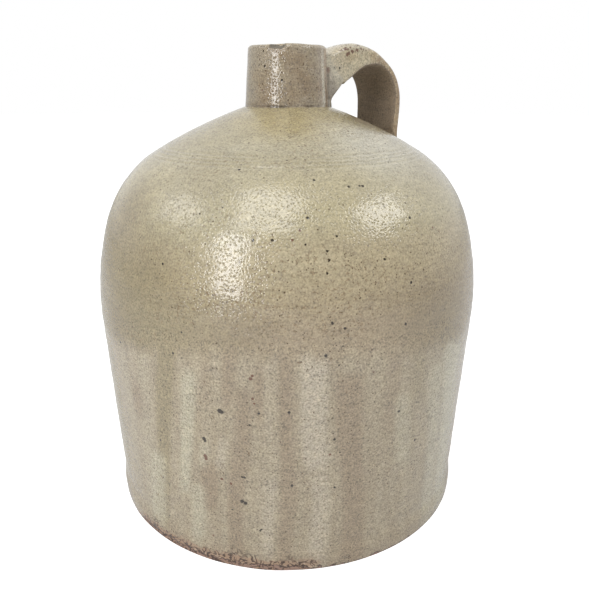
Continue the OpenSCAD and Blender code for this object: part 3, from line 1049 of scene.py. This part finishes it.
def spotted(tree, colour, amount):
    """Iron in the clay: fine pepper, and fewer larger specks, some of them rusty."""
    where = clouds(tree, object_place(tree), 22, 2)
    clump = clouds(tree, object_place(tree), 75, 2)
    clumped = calc(tree, "MULTIPLY_ADD", smooth_step(tree, clump, 0.4, 0.62), 1.1, 0.35)
    uneven = times(tree, smooth_step(tree, where, 0.25, 0.7), clumped)
    density = times(tree, uneven, amount)
    share = times(tree, density, 0.6)
    ragged = {"Vector": object_place(tree), "Scale": 520, "Detail": 5, "Distortion": 0.8}
    scratchy = add(tree, "TexNoise", ragged)
    scratches = times(tree, smooth_step(tree, scratchy.outputs["Fac"], 0.63, 0.71), density)
    colour = lay(tree, colour, PIT_BROWN, scratches, 0.6)
    crowded = times(tree, density, 0.75)
    pepper = use(tree, iron_specks, spacing=1.7 * MM, size=0.4 * MM, share=crowded)
    colour = lay(tree, colour, PEPPER, pepper["Mask"], 0.9)
    specks = use(tree, iron_specks, spacing=7 * MM, size=0.5 * MM, share=share, seed=3.7)
    colour = lay(tree, colour, IRON, specks["Mask"], 0.9)
    rusty = use(tree, iron_specks, spacing=12 * MM, size=0.6 * MM, share=0.3 * amount, seed=8.1)
    return lay(tree, colour, RUST, rusty["Mask"], 0.75)


# Large specks and pits that the photograph shows: pixel, radius in millimetres, and rusty or not.
BODY_SPECKS = (
    (219.4, 411, 1.5, False),
    (221.6, 412, 1.2, False),
    (204, 439, 1.3, False),
    (204.8, 440.8, 1.0, False),
    (205.2, 456.5, 1.35, True),
    (206, 459, 1.1, True),
    (242, 501.6, 1.25, False),
    (245.5, 503.3, 1.25, False),
    (230, 555.5, 1.6, False),
    (260, 531, 0.7, False),
    (232, 510, 0.6, False),
    (242, 477.6, 0.8, False),
    (244.2, 477.8, 0.7, False),
    (292, 486, 0.9, False),
    (239, 169, 0.8, False),
    (314, 179.5, 0.8, False),
    (349, 186, 0.9, False),
    (360, 185, 0.9, False),
    (363, 185.5, 0.9, False),
    (307.8, 217.5, 1.0, False),
    (252.8, 240.5, 0.8, False),
    (272.2, 240.2, 0.8, False),
    (300, 230.5, 0.7, True),
    (292.5, 240, 0.7, True),
    (305.5, 244.5, 0.6, False),
    (337, 236, 0.7, False),
    (327.5, 251, 0.7, False),
    (329.5, 260.3, 0.6, False),
    (327.5, 273.3, 0.7, False),
    (406, 324, 0.8, False),
    (334.5, 439.5, 0.7, False),
    (330, 455, 0.8, True),
    (249.5, 425.5, 0.6, False),
    (250.5, 379, 1.0, True),
    (252, 376, 0.8, True),
    (252.5, 399, 0.8, True),
    (254, 404, 0.7, True),
    (259, 413.7, 0.7, False),
    (221.7, 479.2, 0.9, True),
    (230.8, 484, 0.9, True),
    (410, 217.5, 0.8, False),
    (411.5, 282.5, 0.8, False),
    (385, 259, 0.7, False),
    (332.5, 323.5, 0.8, False),
    (345, 328.5, 0.7, False),
    (326, 356, 0.9, False),
    (120, 342.5, 0.8, False),
    (172.5, 353.5, 0.8, False),
    (181, 332.5, 0.6, False),
    (162.5, 264, 0.7, False),
    (399, 411.5, 0.8, False),
    (289, 412.5, 0.8, False),
    (160, 440, 0.6, False),
    (335, 487.5, 0.7, False),
    (261.5, 530, 0.6, False),
    (415, 440, 0.8, False),
)
STRAP_SPECKS = (
    (340.6, 49.6, 1.0, True),
    (342.2, 49.5, 0.8, True),
    (345.4, 48.4, 1.2, True),
    (346.6, 48.3, 1.0, True),
    (350.6, 47.4, 0.7, True),
    (347.6, 54.4, 1.3, True),
    (349.0, 53.2, 1.2, True),
    (351.8, 51.2, 0.8, True),
    (353.0, 51.6, 1.2, True),
    (356.8, 49.8, 0.8, True),
    (358.0, 50.2, 1.0, True),
    (361.6, 48.6, 0.8, True),
    (340, 68, 0.7, False),
)
NECK_SPECKS = ((264.5, 66, 0.8, False), (282, 80, 0.8, False), (263, 51, 0.5, False), (262, 90, 0.5, True))


# How deep the hand-thrown surface lies under the outline that the specks are found on.
SKIN = 0.4


def placed_specks(specks, find):
    """Masks of the specks that have a place of their own: iron ones and rusty ones."""

    def build(tree, given):
        place = warped(tree, object_place(tree), 900, 0.8 * MM)
        masks = {False: 0.0, True: 0.0}
        for px, py, radius, rusty in specks:
            away = distance(tree, place, find(px, py))
            near, far = math.hypot(0.6 * radius, SKIN) * MM, math.hypot(1.1 * radius, SKIN) * MM
            spot = fall(tree, away, near, far)
            masks[rusty] = calc(tree, "MAXIMUM", masks[rusty], spot)
        return [masks[False], masks[True]]

    return build


SPECK_KINDS = ["Iron", "Rust"]
body_specks = effect("specks seen on the body", [], SPECK_KINDS, placed_specks(BODY_SPECKS, on_jug))
neck_specks = effect("specks seen on the neck", [], SPECK_KINDS, placed_specks(NECK_SPECKS, on_jug))
strap_specks = effect("specks seen on the strap", [], SPECK_KINDS, placed_specks(STRAP_SPECKS, on_strap))


# The sides of the jug as the photograph shows it. The belt's lower edge is highest in front, and
# hangs lower all round from there.
FRONT_SIDE = Vector((-math.cos(HANDLE_TURN), -math.sin(HANDLE_TURN), 0))
LEFT_SIDE = Vector((-math.sin(HANDLE_TURN), math.cos(HANDLE_TURN), 0))

# Rows of the photograph, up the middle of the body, where its colour changes.
BELT_ROW, BELT_TOP_ROW, BELLY_ROW, SHOULDER_ROW, SHOULDER_TOP_ROW, CROWN_ROW = 338, 300, 262, 225, 200, 150

# Middles of the larger patches of colour, and of the rusty stain in the web, in pixels. The side
# patch is olive with painted shade on the left of the body.
OLIVE_PATCH_PX, PALE_PATCH_PX, SIDE_SHADE_PATCH_PX = (284, 118), (376, 149), (116, 292)
STAIN_PX = (328.5, 70)

# Heights over the edge of the glaze between which its crust and its loose fringe end.
CRUST_END, FRINGE_END = (2.6 * MM, 5.4 * MM), (4 * MM, 10 * MM)
FOOT_MARKS_TOP = 15 * MM

# Lines up the neck beside the handle, a painted highlight on its edge and painted shade in the
# groove beside it: pixel at NECK_ROW, half width, tone and strength.
NECK_ROW = 75
NECK_HIGHLIGHT_AND_SHADE_LINES = ((323.8, 1.5 * MM, PAINTED_HIGHLIGHT_PALE, 0.8), (326.4, 0.45 * MM, PAINTED_SHADE_DARK, 0.6))

# Darker smudges on the belt, and painted shade on the shoulder in the last two: pixel, where they
# are full and where they end in millimetres, and how strong.
SMUDGES_AND_SHADE = (
    (126, 332, 8, 36, 0.7),
    (437, 336, 4, 52, 0.5),
    (240, 334, 4, 26, 0.45),
    (202, 178, 6, 30, 0.25),
    (127, 208, 4, 26, 0.4),
)


def body_colour(tree):
    """Tan shoulder, olive under the neck, a brown belt, and a streaked wall below it."""
    here = object_place(tree)
    height = height_on_jug(tree)
    cloud = clouds(tree, here, 16, 4)
    bands = stretched(tree, here, (0.25, 0.25, 1))
    band = clouds(tree, bands, 90, 3)
    drifted = calc(tree, "MULTIPLY_ADD", centred(tree, cloud), 26 * MM, height)

    crown_z, shoulder_top_z, shoulder_z, belly_z, belt_top_z, belt_z = (
        on_jug(MIDDLE_X, row).z
        for row in (CROWN_ROW, SHOULDER_TOP_ROW, SHOULDER_ROW, BELLY_ROW, BELT_TOP_ROW, BELT_ROW)
    )
    belly_stops = [(belt_z, BELT_BROWN), (belly_z, BELLY_TAN)]
    shoulder_stops = [
        (belt_z, BELT_BROWN),
        (belt_top_z, BELT_BROWN),
        (belly_z, BELLY_TAN),
        (shoulder_z, SHOULDER_TAN),
        (shoulder_top_z, SHOULDER_TAN),
        (crown_z, CROWN_TAN),
    ]
    upper = height_ramp(tree, drifted, shoulder_stops)
    greyed = times(tree, smooth_step(tree, cloud, 0.42, 0.66), 0.5)
    upper = blend(tree, greyed, upper, SHOULDER_GREY)
    grey_end = smooth_step(tree, height, belt_top_z, shoulder_z)
    upper = blend(tree, grey_end, height_ramp(tree, drifted, belly_stops), upper)

    near_neck = patch(tree, here, on_jug(*OLIVE_PATCH_PX), band, 16 * MM, 18 * MM, 44 * MM)
    upper = blend(tree, near_neck, upper, CROWN_OLIVE)
    raised = calc(tree, "MULTIPLY_ADD", cloud, 30 * MM, height)
    ring = smooth_step(tree, raised, neck_z - 2 * MM, neck_z + 12 * MM)
    upper = lay(tree, upper, CROWN_OLIVE, ring, 0.5)
    pale = patch(tree, here, on_jug(*PALE_PATCH_PX), cloud, 20 * MM, 16 * MM, 48 * MM)
    upper = lay(tree, upper, CROWN_PALE, pale, 0.9)
    # Olive with painted shade on the left side of the body.
    side = patch(tree, here, on_jug(*SIDE_SHADE_PATCH_PX), cloud, 26 * MM, 34 * MM, 92 * MM)
    upper = lay(tree, upper, SIDE_OLIVE_AND_SHADE, side, 0.9)
    # Smudges on the belt, and painted shade on the shoulder beside its highlights.
    for px, py, near, far, share in SMUDGES_AND_SHADE:
        smudge_and_shade = patch(tree, here, on_jug(px, py), centred(tree, band), 24 * MM, near * MM, far * MM)
        upper = lay(tree, upper, SMUDGE_AND_SHADE_BROWN, smudge_and_shade, share)
    waves = smooth_step(tree, clouds(tree, here, 7.5, 1), 0.38, 0.68)
    olive = times(tree, fall(tree, drifted, belt_z, belly_z), waves)
    upper = lay(tree, upper, BELT_OLIVE, olive, 0.7)

    pits = clouds(tree, here, 620, 3)
    over_belly = smooth_step(tree, height, belly_z, shoulder_z)
    calm = times(tree, over_belly, smooth_step(tree, height, crown_z, shoulder_top_z))
    clumps = clouds(tree, bands, 60, 3)
    clumped = calc(tree, "MULTIPLY_ADD", smooth_step(tree, clumps, 0.42, 0.62), 0.5, 0.2)
    pitted = calc(tree, "MULTIPLY_ADD", calm, -0.35, clumped)
    pitted = calc(tree, "MAXIMUM", pitted, 0.08)
    pitted = times(tree, smooth_step(tree, pits, 0.54, 0.68), pitted)
    upper = blend(tree, pitted, upper, PIT_BROWN)

    runs = add(tree, "Attribute", attribute_name="runs").outputs
    parts = add(tree, "SeparateColor", {"Color": runs["Color"]}).outputs
    amounts = dict(zip(TONES, (parts["Red"], parts["Green"], parts["Blue"], runs["Alpha"])))
    run = stretched(tree, here, (1, 1, 0.07))
    streak = clouds(tree, run, 130, 4)
    ragged = times(tree, centred(tree, streak), 0.55)
    lower = blend(tree, smooth_step(tree, streak, 0.3, 0.75), WALL_MID, WALL_SHADE)
    tones = (("brown", RUN_BROWN), ("olive", RUN_OLIVE), ("pale", RUN_PALE), ("sage", RUN_SAGE))
    for kind, colour in tones:
        share = calc(tree, "ADD", amounts[kind], times(tree, ragged, amounts[kind]))
        lower = blend(tree, smooth_step(tree, share, 0.08, 0.95), lower, colour)
    # Browner towards the foot, most where the edge of the glaze stands higher.
    near_foot = fall(tree, height, 4 * MM, 17 * MM)
    foot_brown_share = calc(tree, "MULTIPLY_ADD", smooth_step(tree, marks_of(tree)[1], 0.1, 0.3), 0.35, 0.2)
    lower = blend(tree, times(tree, near_foot, foot_brown_share), lower, FOOT_BROWN)

    behind_front = calc(tree, "SUBTRACT", BELLY_R, along(tree, here, FRONT_SIDE))
    dip = calc(tree, "MINIMUM", times(tree, behind_front, 0.25), 15 * MM)
    edge = calc(tree, "MULTIPLY_ADD", centred(tree, streak), 14 * MM, calc(tree, "ADD", height, dip))
    return blend(tree, smooth_step(tree, edge, belt_z - 16 * MM, belt_z - 3 * MM), lower, upper)


def with_handle_shade(tree, colour, fray, handle_shade):
    """Painted shade, brown with darker flecks, on the crown under the handle."""
    shade_under_handle = smooth_step(tree, calc(tree, "MULTIPLY_ADD", centred(tree, fray), 1.1, handle_shade), 0.3, 0.85)
    colour = blend(tree, shade_under_handle, colour, UNDER_HANDLE_SHADE)
    shade_flecks = times(tree, shade_under_handle, smooth_step(tree, fray, 0.5, 0.62))
    return lay(tree, colour, PAINTED_SHADE_DARK, shade_flecks, 0.5)


def above_glaze_edge(tree, fray, bare_line):
    """Height above the frayed lower edge of the glaze, in metres."""
    line = times(tree, bare_line, 10 * MM)
    height = height_on_jug(tree)
    return calc(tree, "SUBTRACT", calc(tree, "MULTIPLY_ADD", centred(tree, fray), 7 * MM, height), line)


def with_bare_foot(tree, colour, fray, bare_line, above, bare):
    """Bare clay under the edge of the glaze, a pale crust over it, and dark lines where it crawled."""
    crust = times(tree, fall(tree, above, *CRUST_END), smooth_step(tree, bare_line, 0.1, 0.3))
    crawl_inputs = {"Vector": object_place(tree), "Scale": 210, "Detail": 1, "Distortion": 1.2}
    crawl = centred(tree, add(tree, "TexNoise", crawl_inputs).outputs["Fac"])
    lines = fall(tree, calc(tree, "ABSOLUTE", crawl), 0.02, 0.075)
    loose = smooth_step(tree, clouds(tree, object_place(tree), 85, 1), 0.5, 0.58)
    fringe = times(tree, fall(tree, above, *FRINGE_END), smooth_step(tree, bare_line, 0.25, 0.4))
    fringe = times(tree, fringe, loose)
    clay = blend(tree, smooth_step(tree, fray, 0.48, 0.62), BARE_CLAY, CRUST)
    colour = lay(tree, colour, CRUST, crust, 0.75)
    flecks = times(tree, crust, smooth_step(tree, fray, 0.58, 0.66))
    colour = lay(tree, colour, CRUST_PALE, flecks, 0.8)
    colour = blend(tree, bare, colour, clay)
    crawled = times(tree, calc(tree, "MAXIMUM", crust, fringe), lines)
    colour = lay(tree, colour, BARE_EDGE, crawled, 0.95)
    rim = fall(tree, calc(tree, "ABSOLUTE", above), 0.1 * MM, 0.7 * MM)
    height = height_on_jug(tree)
    rim = times(tree, rim, calc(tree, "LESS_THAN", height, FOOT_MARKS_TOP))
    return blend(tree, rim, colour, BARE_EDGE)


def glazed(name, colour_of, cell, relief, specks, grain, seen_specks=None):
    """A salt-glazed material: its own colour, with the shared peel, grain, specks and marks. The
    cell and relief are the width and depth of a pit; specks and grain are amounts."""
    material, tree, shader = new_material(name)
    chip, bare_line, handle_shade, inner = marks_of(tree)
    peel = use(tree, orange_peel, cell=cell, grain=0.2)["Height"]
    colour = spotted(tree, mottled(tree, colour_of(tree), peel, grain), specks)

    fray = clouds(tree, object_place(tree), 330, 4)
    # Painted shade on the crown under the handle, where the glaze is also made duller.
    colour = with_handle_shade(tree, colour, fray, handle_shade)
    above = above_glaze_edge(tree, fray, bare_line)
    bare = fall(tree, above, -0.3 * MM, 0.3 * MM)
    colour = with_bare_foot(tree, colour, fray, bare_line, above, bare)
    if seen_specks:
        seen = use(tree, seen_specks)
        colour = lay(tree, colour, IRON, seen["Iron"], 0.95)
        colour = lay(tree, colour, RUST, seen["Rust"], 0.85)
    broken = smooth_step(tree, calc(tree, "MULTIPLY_ADD", centred(tree, fray), 0.5, chip), 0.3, 0.6)
    colour = blend(tree, broken, colour, CHIP_GREY)

    dull = calc(tree, "MAXIMUM", calc(tree, "MAXIMUM", bare, broken), times(tree, handle_shade, 0.6))
    dull = calc(tree, "MAXIMUM", dull, inner)
    rough = add(tree, "MapRange", {"Value": dull, "To Min": 0.05, "To Max": 0.7}).outputs["Result"]
    bump = add(tree, "Bump", {"Height": peel, "Strength": 1.0, "Distance": relief})
    tree.links.new(colour, shader.inputs["Base Color"])
    tree.links.new(calc(tree, "MULTIPLY_ADD", fray, 0.1, rough), shader.inputs["Roughness"])
    tree.links.new(bump.outputs[0], shader.inputs["Normal"])
    return material


def neck_colour(tree):
    """Brownish grey, warmer on the handle's side, with painted highlights and painted shade round it."""
    here = object_place(tree)
    cloud = clouds(tree, here, 60, 4)
    colour = blend(tree, smooth_step(tree, cloud, 0.36, 0.64), NECK_GREY, NECK_BROWN)
    axes = add(tree, "SeparateXYZ", {"Vector": here}).outputs
    warm = smooth_step(tree, calc(tree, "MULTIPLY_ADD", cloud, 14 * MM, axes["X"]), 4 * MM, 26 * MM)
    colour = lay(tree, colour, NECK_WARM, warm, 0.7)
    # Olive with painted shade on the neck's left side.
    left = smooth_step(tree, along(tree, here, LEFT_SIDE), 12 * MM, 25 * MM)
    colour = lay(tree, colour, NECK_OLIVE_AND_SHADE, left, 0.6)
    # A lighter top of the rim: wear and a painted highlight.
    ragged = calc(tree, "MULTIPLY_ADD", cloud, 2.4 * MM, axes["Z"])
    rim_wear_and_highlight = smooth_step(tree, ragged, lip_z - 1.6 * MM, lip_z + 0.8 * MM)
    colour = lay(tree, colour, RIM_WEAR_AND_HIGHLIGHT, rim_wear_and_highlight, 0.6)
    flat = add(tree, "CombineXYZ", {"X": axes["X"], "Y": axes["Y"]}).outputs[0]
    # A painted highlight along the neck's edge and painted shade in the groove by the handle.
    for px, half, shade, share in NECK_HIGHLIGHT_AND_SHADE_LINES:
        beside = on_jug(px, NECK_ROW)
        beside.z = 0
        away = distance(tree, flat, beside)
        away = calc(tree, "MULTIPLY_ADD", centred(tree, cloud), 0.8 * MM, away)
        line = fall(tree, away, half * 0.5, half * 1.6)
        colour = lay(tree, colour, shade, line, share)
    # Painted shade in the gap where the neck meets the crown.
    smear = clouds(tree, here, 70, 2)
    joint = fall(tree, axes["Z"], neck_z + 0.3 * MM, neck_z + 1.4 * MM)
    joint = times(tree, joint, smooth_step(tree, smear, 0.42, 0.56))
    return lay(tree, colour, PAINTED_SHADE_DARK, joint, 0.75)


def over_fold(tree, axes, cloud):
    """How far a place lies above the fold, less where the cloud is dark."""
    line = calc(tree, "MULTIPLY_ADD", calc(tree, "SUBTRACT", axes["X"], FOLD_X), FOLD_FALL, axes["Z"])
    line = calc(tree, "MULTIPLY_ADD", centred(tree, cloud), 3 * MM, line)
    return calc(tree, "SUBTRACT", line, FOLD_Z)


def web_colour(tree):
    """Wiped grey with a painted highlight under the fold, browner at its foot, with a rusty stain by the
    neck.
    """
    here = object_place(tree)
    wiped = stretched(tree, here, (1, 1, 0.25))
    cloud = clouds(tree, wiped, 380, 3)
    colour = blend(tree, smooth_step(tree, cloud, 0.35, 0.65), WEB_PALE, WEB_GREY)
    axes = add(tree, "SeparateXYZ", {"Vector": here}).outputs
    foot = calc(tree, "MULTIPLY_ADD", cloud, 6 * MM, axes["Z"])
    foot = fall(tree, foot, neck_z + 3 * MM, neck_z + 15 * MM)
    colour = lay(tree, colour, WEB_FOOT_BROWN, foot, 0.85)
    # A painted highlight under the fold.
    under_fold_highlight = smooth_step(tree, over_fold(tree, axes, cloud), -9 * MM, -1 * MM)
    colour = lay(tree, colour, PAINTED_HIGHLIGHT_PALE, under_fold_highlight, 0.9)
    away = distance(tree, here, on_strap(*STAIN_PX))
    near = fall(tree, away, 0.6 * MM, 2.6 * MM)
    colour = lay(tree, colour, STAIN_RED, near, 0.6)
    # Painted shade in the crease where the web meets the neck.
    flat = add(tree, "CombineXYZ", {"X": axes["X"], "Y": axes["Y"]}).outputs[0]
    radius = add(tree, "VectorMath", {0: flat}, operation="LENGTH").outputs["Value"]
    crease_shade = fall(tree, radius, NECK_R - 0.6 * MM, NECK_R + 0.6 * MM)
    return lay(tree, colour, PAINTED_SHADE_DARK, crease_shade, 0.4)


# Between which heights and distances from the axis the strap's tones and its painted highlight come and go.
STRAP_HIGHLIGHT_FROM, STRAP_HIGHLIGHT_TO = 279 * MM, 283.5 * MM
ROOT_TONE_FROM, ROOT_TONE_TO = 30 * MM, 44 * MM
BEND_TONE_FROM, BEND_TONE_TO = 52 * MM, 70 * MM
END_TONE_FROM, END_TONE_TO = 78 * MM, 92 * MM
FLECKS_LOW, FLECKS_HIGH = 274 * MM, 277 * MM
FLECKS_FROM, FLECKS_FULL, FLECKS_FALL, FLECKS_TO = 28 * MM, 34 * MM, 52 * MM, 62 * MM


def strap_colour(tree):
    """Tan outside with a rusty edge and painted highlights, brown and dry inside the loop."""
    here = object_place(tree)
    inner = marks_of(tree)[3]
    cloud = clouds(tree, here, 90, 4)
    colour = blend(tree, smooth_step(tree, cloud, 0.35, 0.65), STRAP_TAN, STRAP_BROWN)
    axes = add(tree, "SeparateXYZ", {"Vector": here}).outputs
    # A painted highlight along the strap's top.
    height = calc(tree, "MULTIPLY_ADD", cloud, 3 * MM, axes["Z"])
    top = smooth_step(tree, height, STRAP_HIGHLIGHT_FROM, STRAP_HIGHLIGHT_TO)
    colour = lay(tree, colour, PAINTED_HIGHLIGHT_PALE, top, 0.7)
    reach = calc(tree, "MULTIPLY_ADD", cloud, 8 * MM, axes["X"])
    root = smooth_step(tree, reach, ROOT_TONE_TO, ROOT_TONE_FROM)
    colour = lay(tree, colour, STRAP_ROOT, root, 0.6)
    drawn = smooth_step(tree, clouds(tree, stretched(tree, here, (1, 0.1, 1)), 420, 2), 0.4, 0.62)
    drawn = calc(tree, "MULTIPLY_ADD", drawn, 0.5, 0.25)
    bend = smooth_step(tree, reach, BEND_TONE_FROM, BEND_TONE_TO)
    colour = blend(tree, times(tree, bend, drawn), colour, STRAP_EDGE)
    outer_end = smooth_step(tree, reach, END_TONE_FROM, END_TONE_TO)
    colour = lay(tree, colour, STRAP_EDGE, outer_end, 0.6)
    fleck = use(tree, iron_specks, spacing=1.9 * MM, size=0.75 * MM, share=0.5, seed=5.3)["Mask"]
    crest = smooth_step(tree, axes["Z"], FLECKS_LOW, FLECKS_HIGH)
    crest = times(tree, crest, smooth_step(tree, axes["X"], FLECKS_FROM, FLECKS_FULL))
    crest = times(tree, crest, smooth_step(tree, axes["X"], FLECKS_TO, FLECKS_FALL))
    flecked = times(tree, fleck, times(tree, crest, 0.8))
    colour = blend(tree, flecked, colour, RUST)
    dry = calc(tree, "MULTIPLY_ADD", centred(tree, cloud), 0.7, inner)
    colour = blend(tree, smooth_step(tree, dry, 0.35, 0.65), colour, STRAP_INSIDE)
    # A painted highlight along the fold at the root.
    pale = fall(tree, over_fold(tree, axes, cloud), 0.6 * MM, 4 * MM)
    return lay(tree, colour, PAINTED_HIGHLIGHT_PALE, pale, 0.8)


def slip_glaze():
    """The brown slip that lines the inside."""
    material, tree, shader = new_material("slip_inside")
    cloud = clouds(tree, object_place(tree), 50, 4)
    tree.links.new(blend(tree, cloud, SLIP, SLIP_PALE), shader.inputs["Base Color"])
    shader.inputs["Roughness"].default_value = 0.25
    return material


# The room in front of the jug is darker than the white sweep behind it.
WORLD_ROOM, WORLD_SWEEP = 0.18, 0.87
FLOOR_WHITE, FLOOR_GLOW, FLOOR_R = (0.86, 0.86, 0.86, 1), 0.72, 6

# Softboxes: bearing to the right of straight ahead and elevation in degrees, distance, width and
# height in metres, and power.
SOFTBOXES = {
    "window": (-147, 18, 1.6, (0.44, 0.95), 8.5),
    "left_light": (-98, 38, 1.6, (0.6, 0.5), 2.1),
    "right_light": (109, 40, 1.6, (0.8, 0.55), 5.4),
    "top_light": (-163, 60, 1.6, (0.85, 1.0), 9),
}
LIT_POINT = Vector((0, 0, 180 * MM))


def set_stage():
    """A pale floor and surround, which only the camera sees as plain white."""
    material, tree, shader = new_material("studio_floor")
    tree.nodes.remove(shader)
    diffuse = add(tree, "BsdfDiffuse", {"Color": FLOOR_WHITE})
    glow = add(tree, "Emission", {"Strength": FLOOR_GLOW})
    both = add(tree, "AddShader", {0: diffuse.outputs[0], 1: glow.outputs[0]})
    seen = add(tree, "LightPath").outputs["Is Camera Ray"]
    choice = add(tree, "MixShader", {"Fac": seen, 1: diffuse.outputs[0], 2: both.outputs[0]})
    tree.links.new(choice.outputs[0], tree.nodes["Material Output"].inputs["Surface"])
    bm = bmesh.new()
    bmesh.ops.create_circle(bm, cap_ends=True, radius=FLOOR_R, segments=64)
    mesh = bpy.data.meshes.new("floor")
    bm.to_mesh(mesh)
    bm.free()
    floor = bpy.data.objects.new("floor", mesh)
    mesh.materials.append(material)
    bpy.context.scene.collection.objects.link(floor)

    world = bpy.data.worlds.new("studio")
    bpy.context.scene.world = world
    world.use_nodes = True
    tree = world.node_tree
    behind = along(tree, add(tree, "TexCoord").outputs["Generated"], -FRONT_SIDE)
    sweep = smooth_step(tree, behind, -0.35, 0.45)
    room = calc(tree, "MULTIPLY_ADD", sweep, WORLD_SWEEP - WORLD_ROOM, WORLD_ROOM)
    seen = add(tree, "LightPath").outputs["Is Camera Ray"]
    tree.links.new(calc(tree, "MAXIMUM", seen, room), tree.nodes["Background"].inputs["Strength"])
    tree.nodes["Background"].inputs["Color"].default_value = (1, 1, 1, 1)


def softbox(name, bearing, elevation, reach, size, power):
    """An area light aimed at the jug."""
    turn, lift = math.radians(bearing), math.radians(elevation)
    level = -math.cos(turn) * FRONT_SIDE - math.sin(turn) * LEFT_SIDE
    away = math.cos(lift) * level + Vector((0, 0, math.sin(lift)))
    data = bpy.data.lights.new(name, "AREA")
    data.shape = "RECTANGLE"
    data.size, data.size_y = size
    data.energy = power
    lamp = bpy.data.objects.new(name, data)
    aim = (-away).to_track_quat("-Z", "Y").to_matrix().to_4x4()
    lamp.matrix_world = Matrix.Translation(LIT_POINT + away * reach) @ aim
    bpy.context.scene.collection.objects.link(lamp)


set_camera()
set_stage()
for name, setting in SOFTBOXES.items():
    softbox(name, *setting)

bpy.context.scene.view_settings.view_transform = "Standard"
slip = slip_glaze()
wall_glaze = glazed(
    "wall_glaze", body_colour,
    cell=1.5 * MM, relief=0.18 * MM, specks=1.4, grain=2.1, seen_specks=body_specks,
)
shoulder_glaze = glazed(
    "shoulder_glaze", body_colour,
    cell=1.35 * MM, relief=0.15 * MM, specks=0.8, grain=1.35, seen_specks=body_specks,
)
neck_glaze = glazed(
    "neck_glaze", neck_colour,
    cell=1.4 * MM, relief=0.2 * MM, specks=2.2, grain=1.7, seen_specks=neck_specks,
)
web_glaze = glazed("web_glaze", web_colour, cell=1.8 * MM, relief=0.05 * MM, specks=0.8, grain=1.5)
handle_glaze = glazed(
    "handle_glaze", strap_colour,
    cell=1.4 * MM, relief=0.12 * MM, specks=1.6, grain=1.7, seen_specks=strap_specks,
)

pot = spin(pot_outline(), False)
shape_wall(pot)
finish(pot, "thrown_pot", "lower_body", wall_glaze, body_mark)
shoulder = spin(shoulder_outline(), True)
shape_wall(shoulder)
finish(shoulder, "shoulder_section", "upper_body", shoulder_glaze, body_mark)
cap = spin(crown_outline(), True)
shape_wall(cap)
finish(cap, "crown_cap", "crown", shoulder_glaze, body_mark)
collar = spin(neck_outline(), True)
shape_neck(collar)
finish(collar, "collar_neck", "neck", neck_glaze, neck_mark)

strap = loft([strap_ring(station, index == 0) for index, station in enumerate(strap_stations())], True)
roughen(strap, *STRAP_DENTS, 8)
finish(strap, "strap_handle", "handle", handle_glaze, strap_mark)
web = loft(web_rings())
roughen(web, *WEB_DENTS, 14)
finish(web, "root_web", "handle_web", web_glaze, neck_mark)
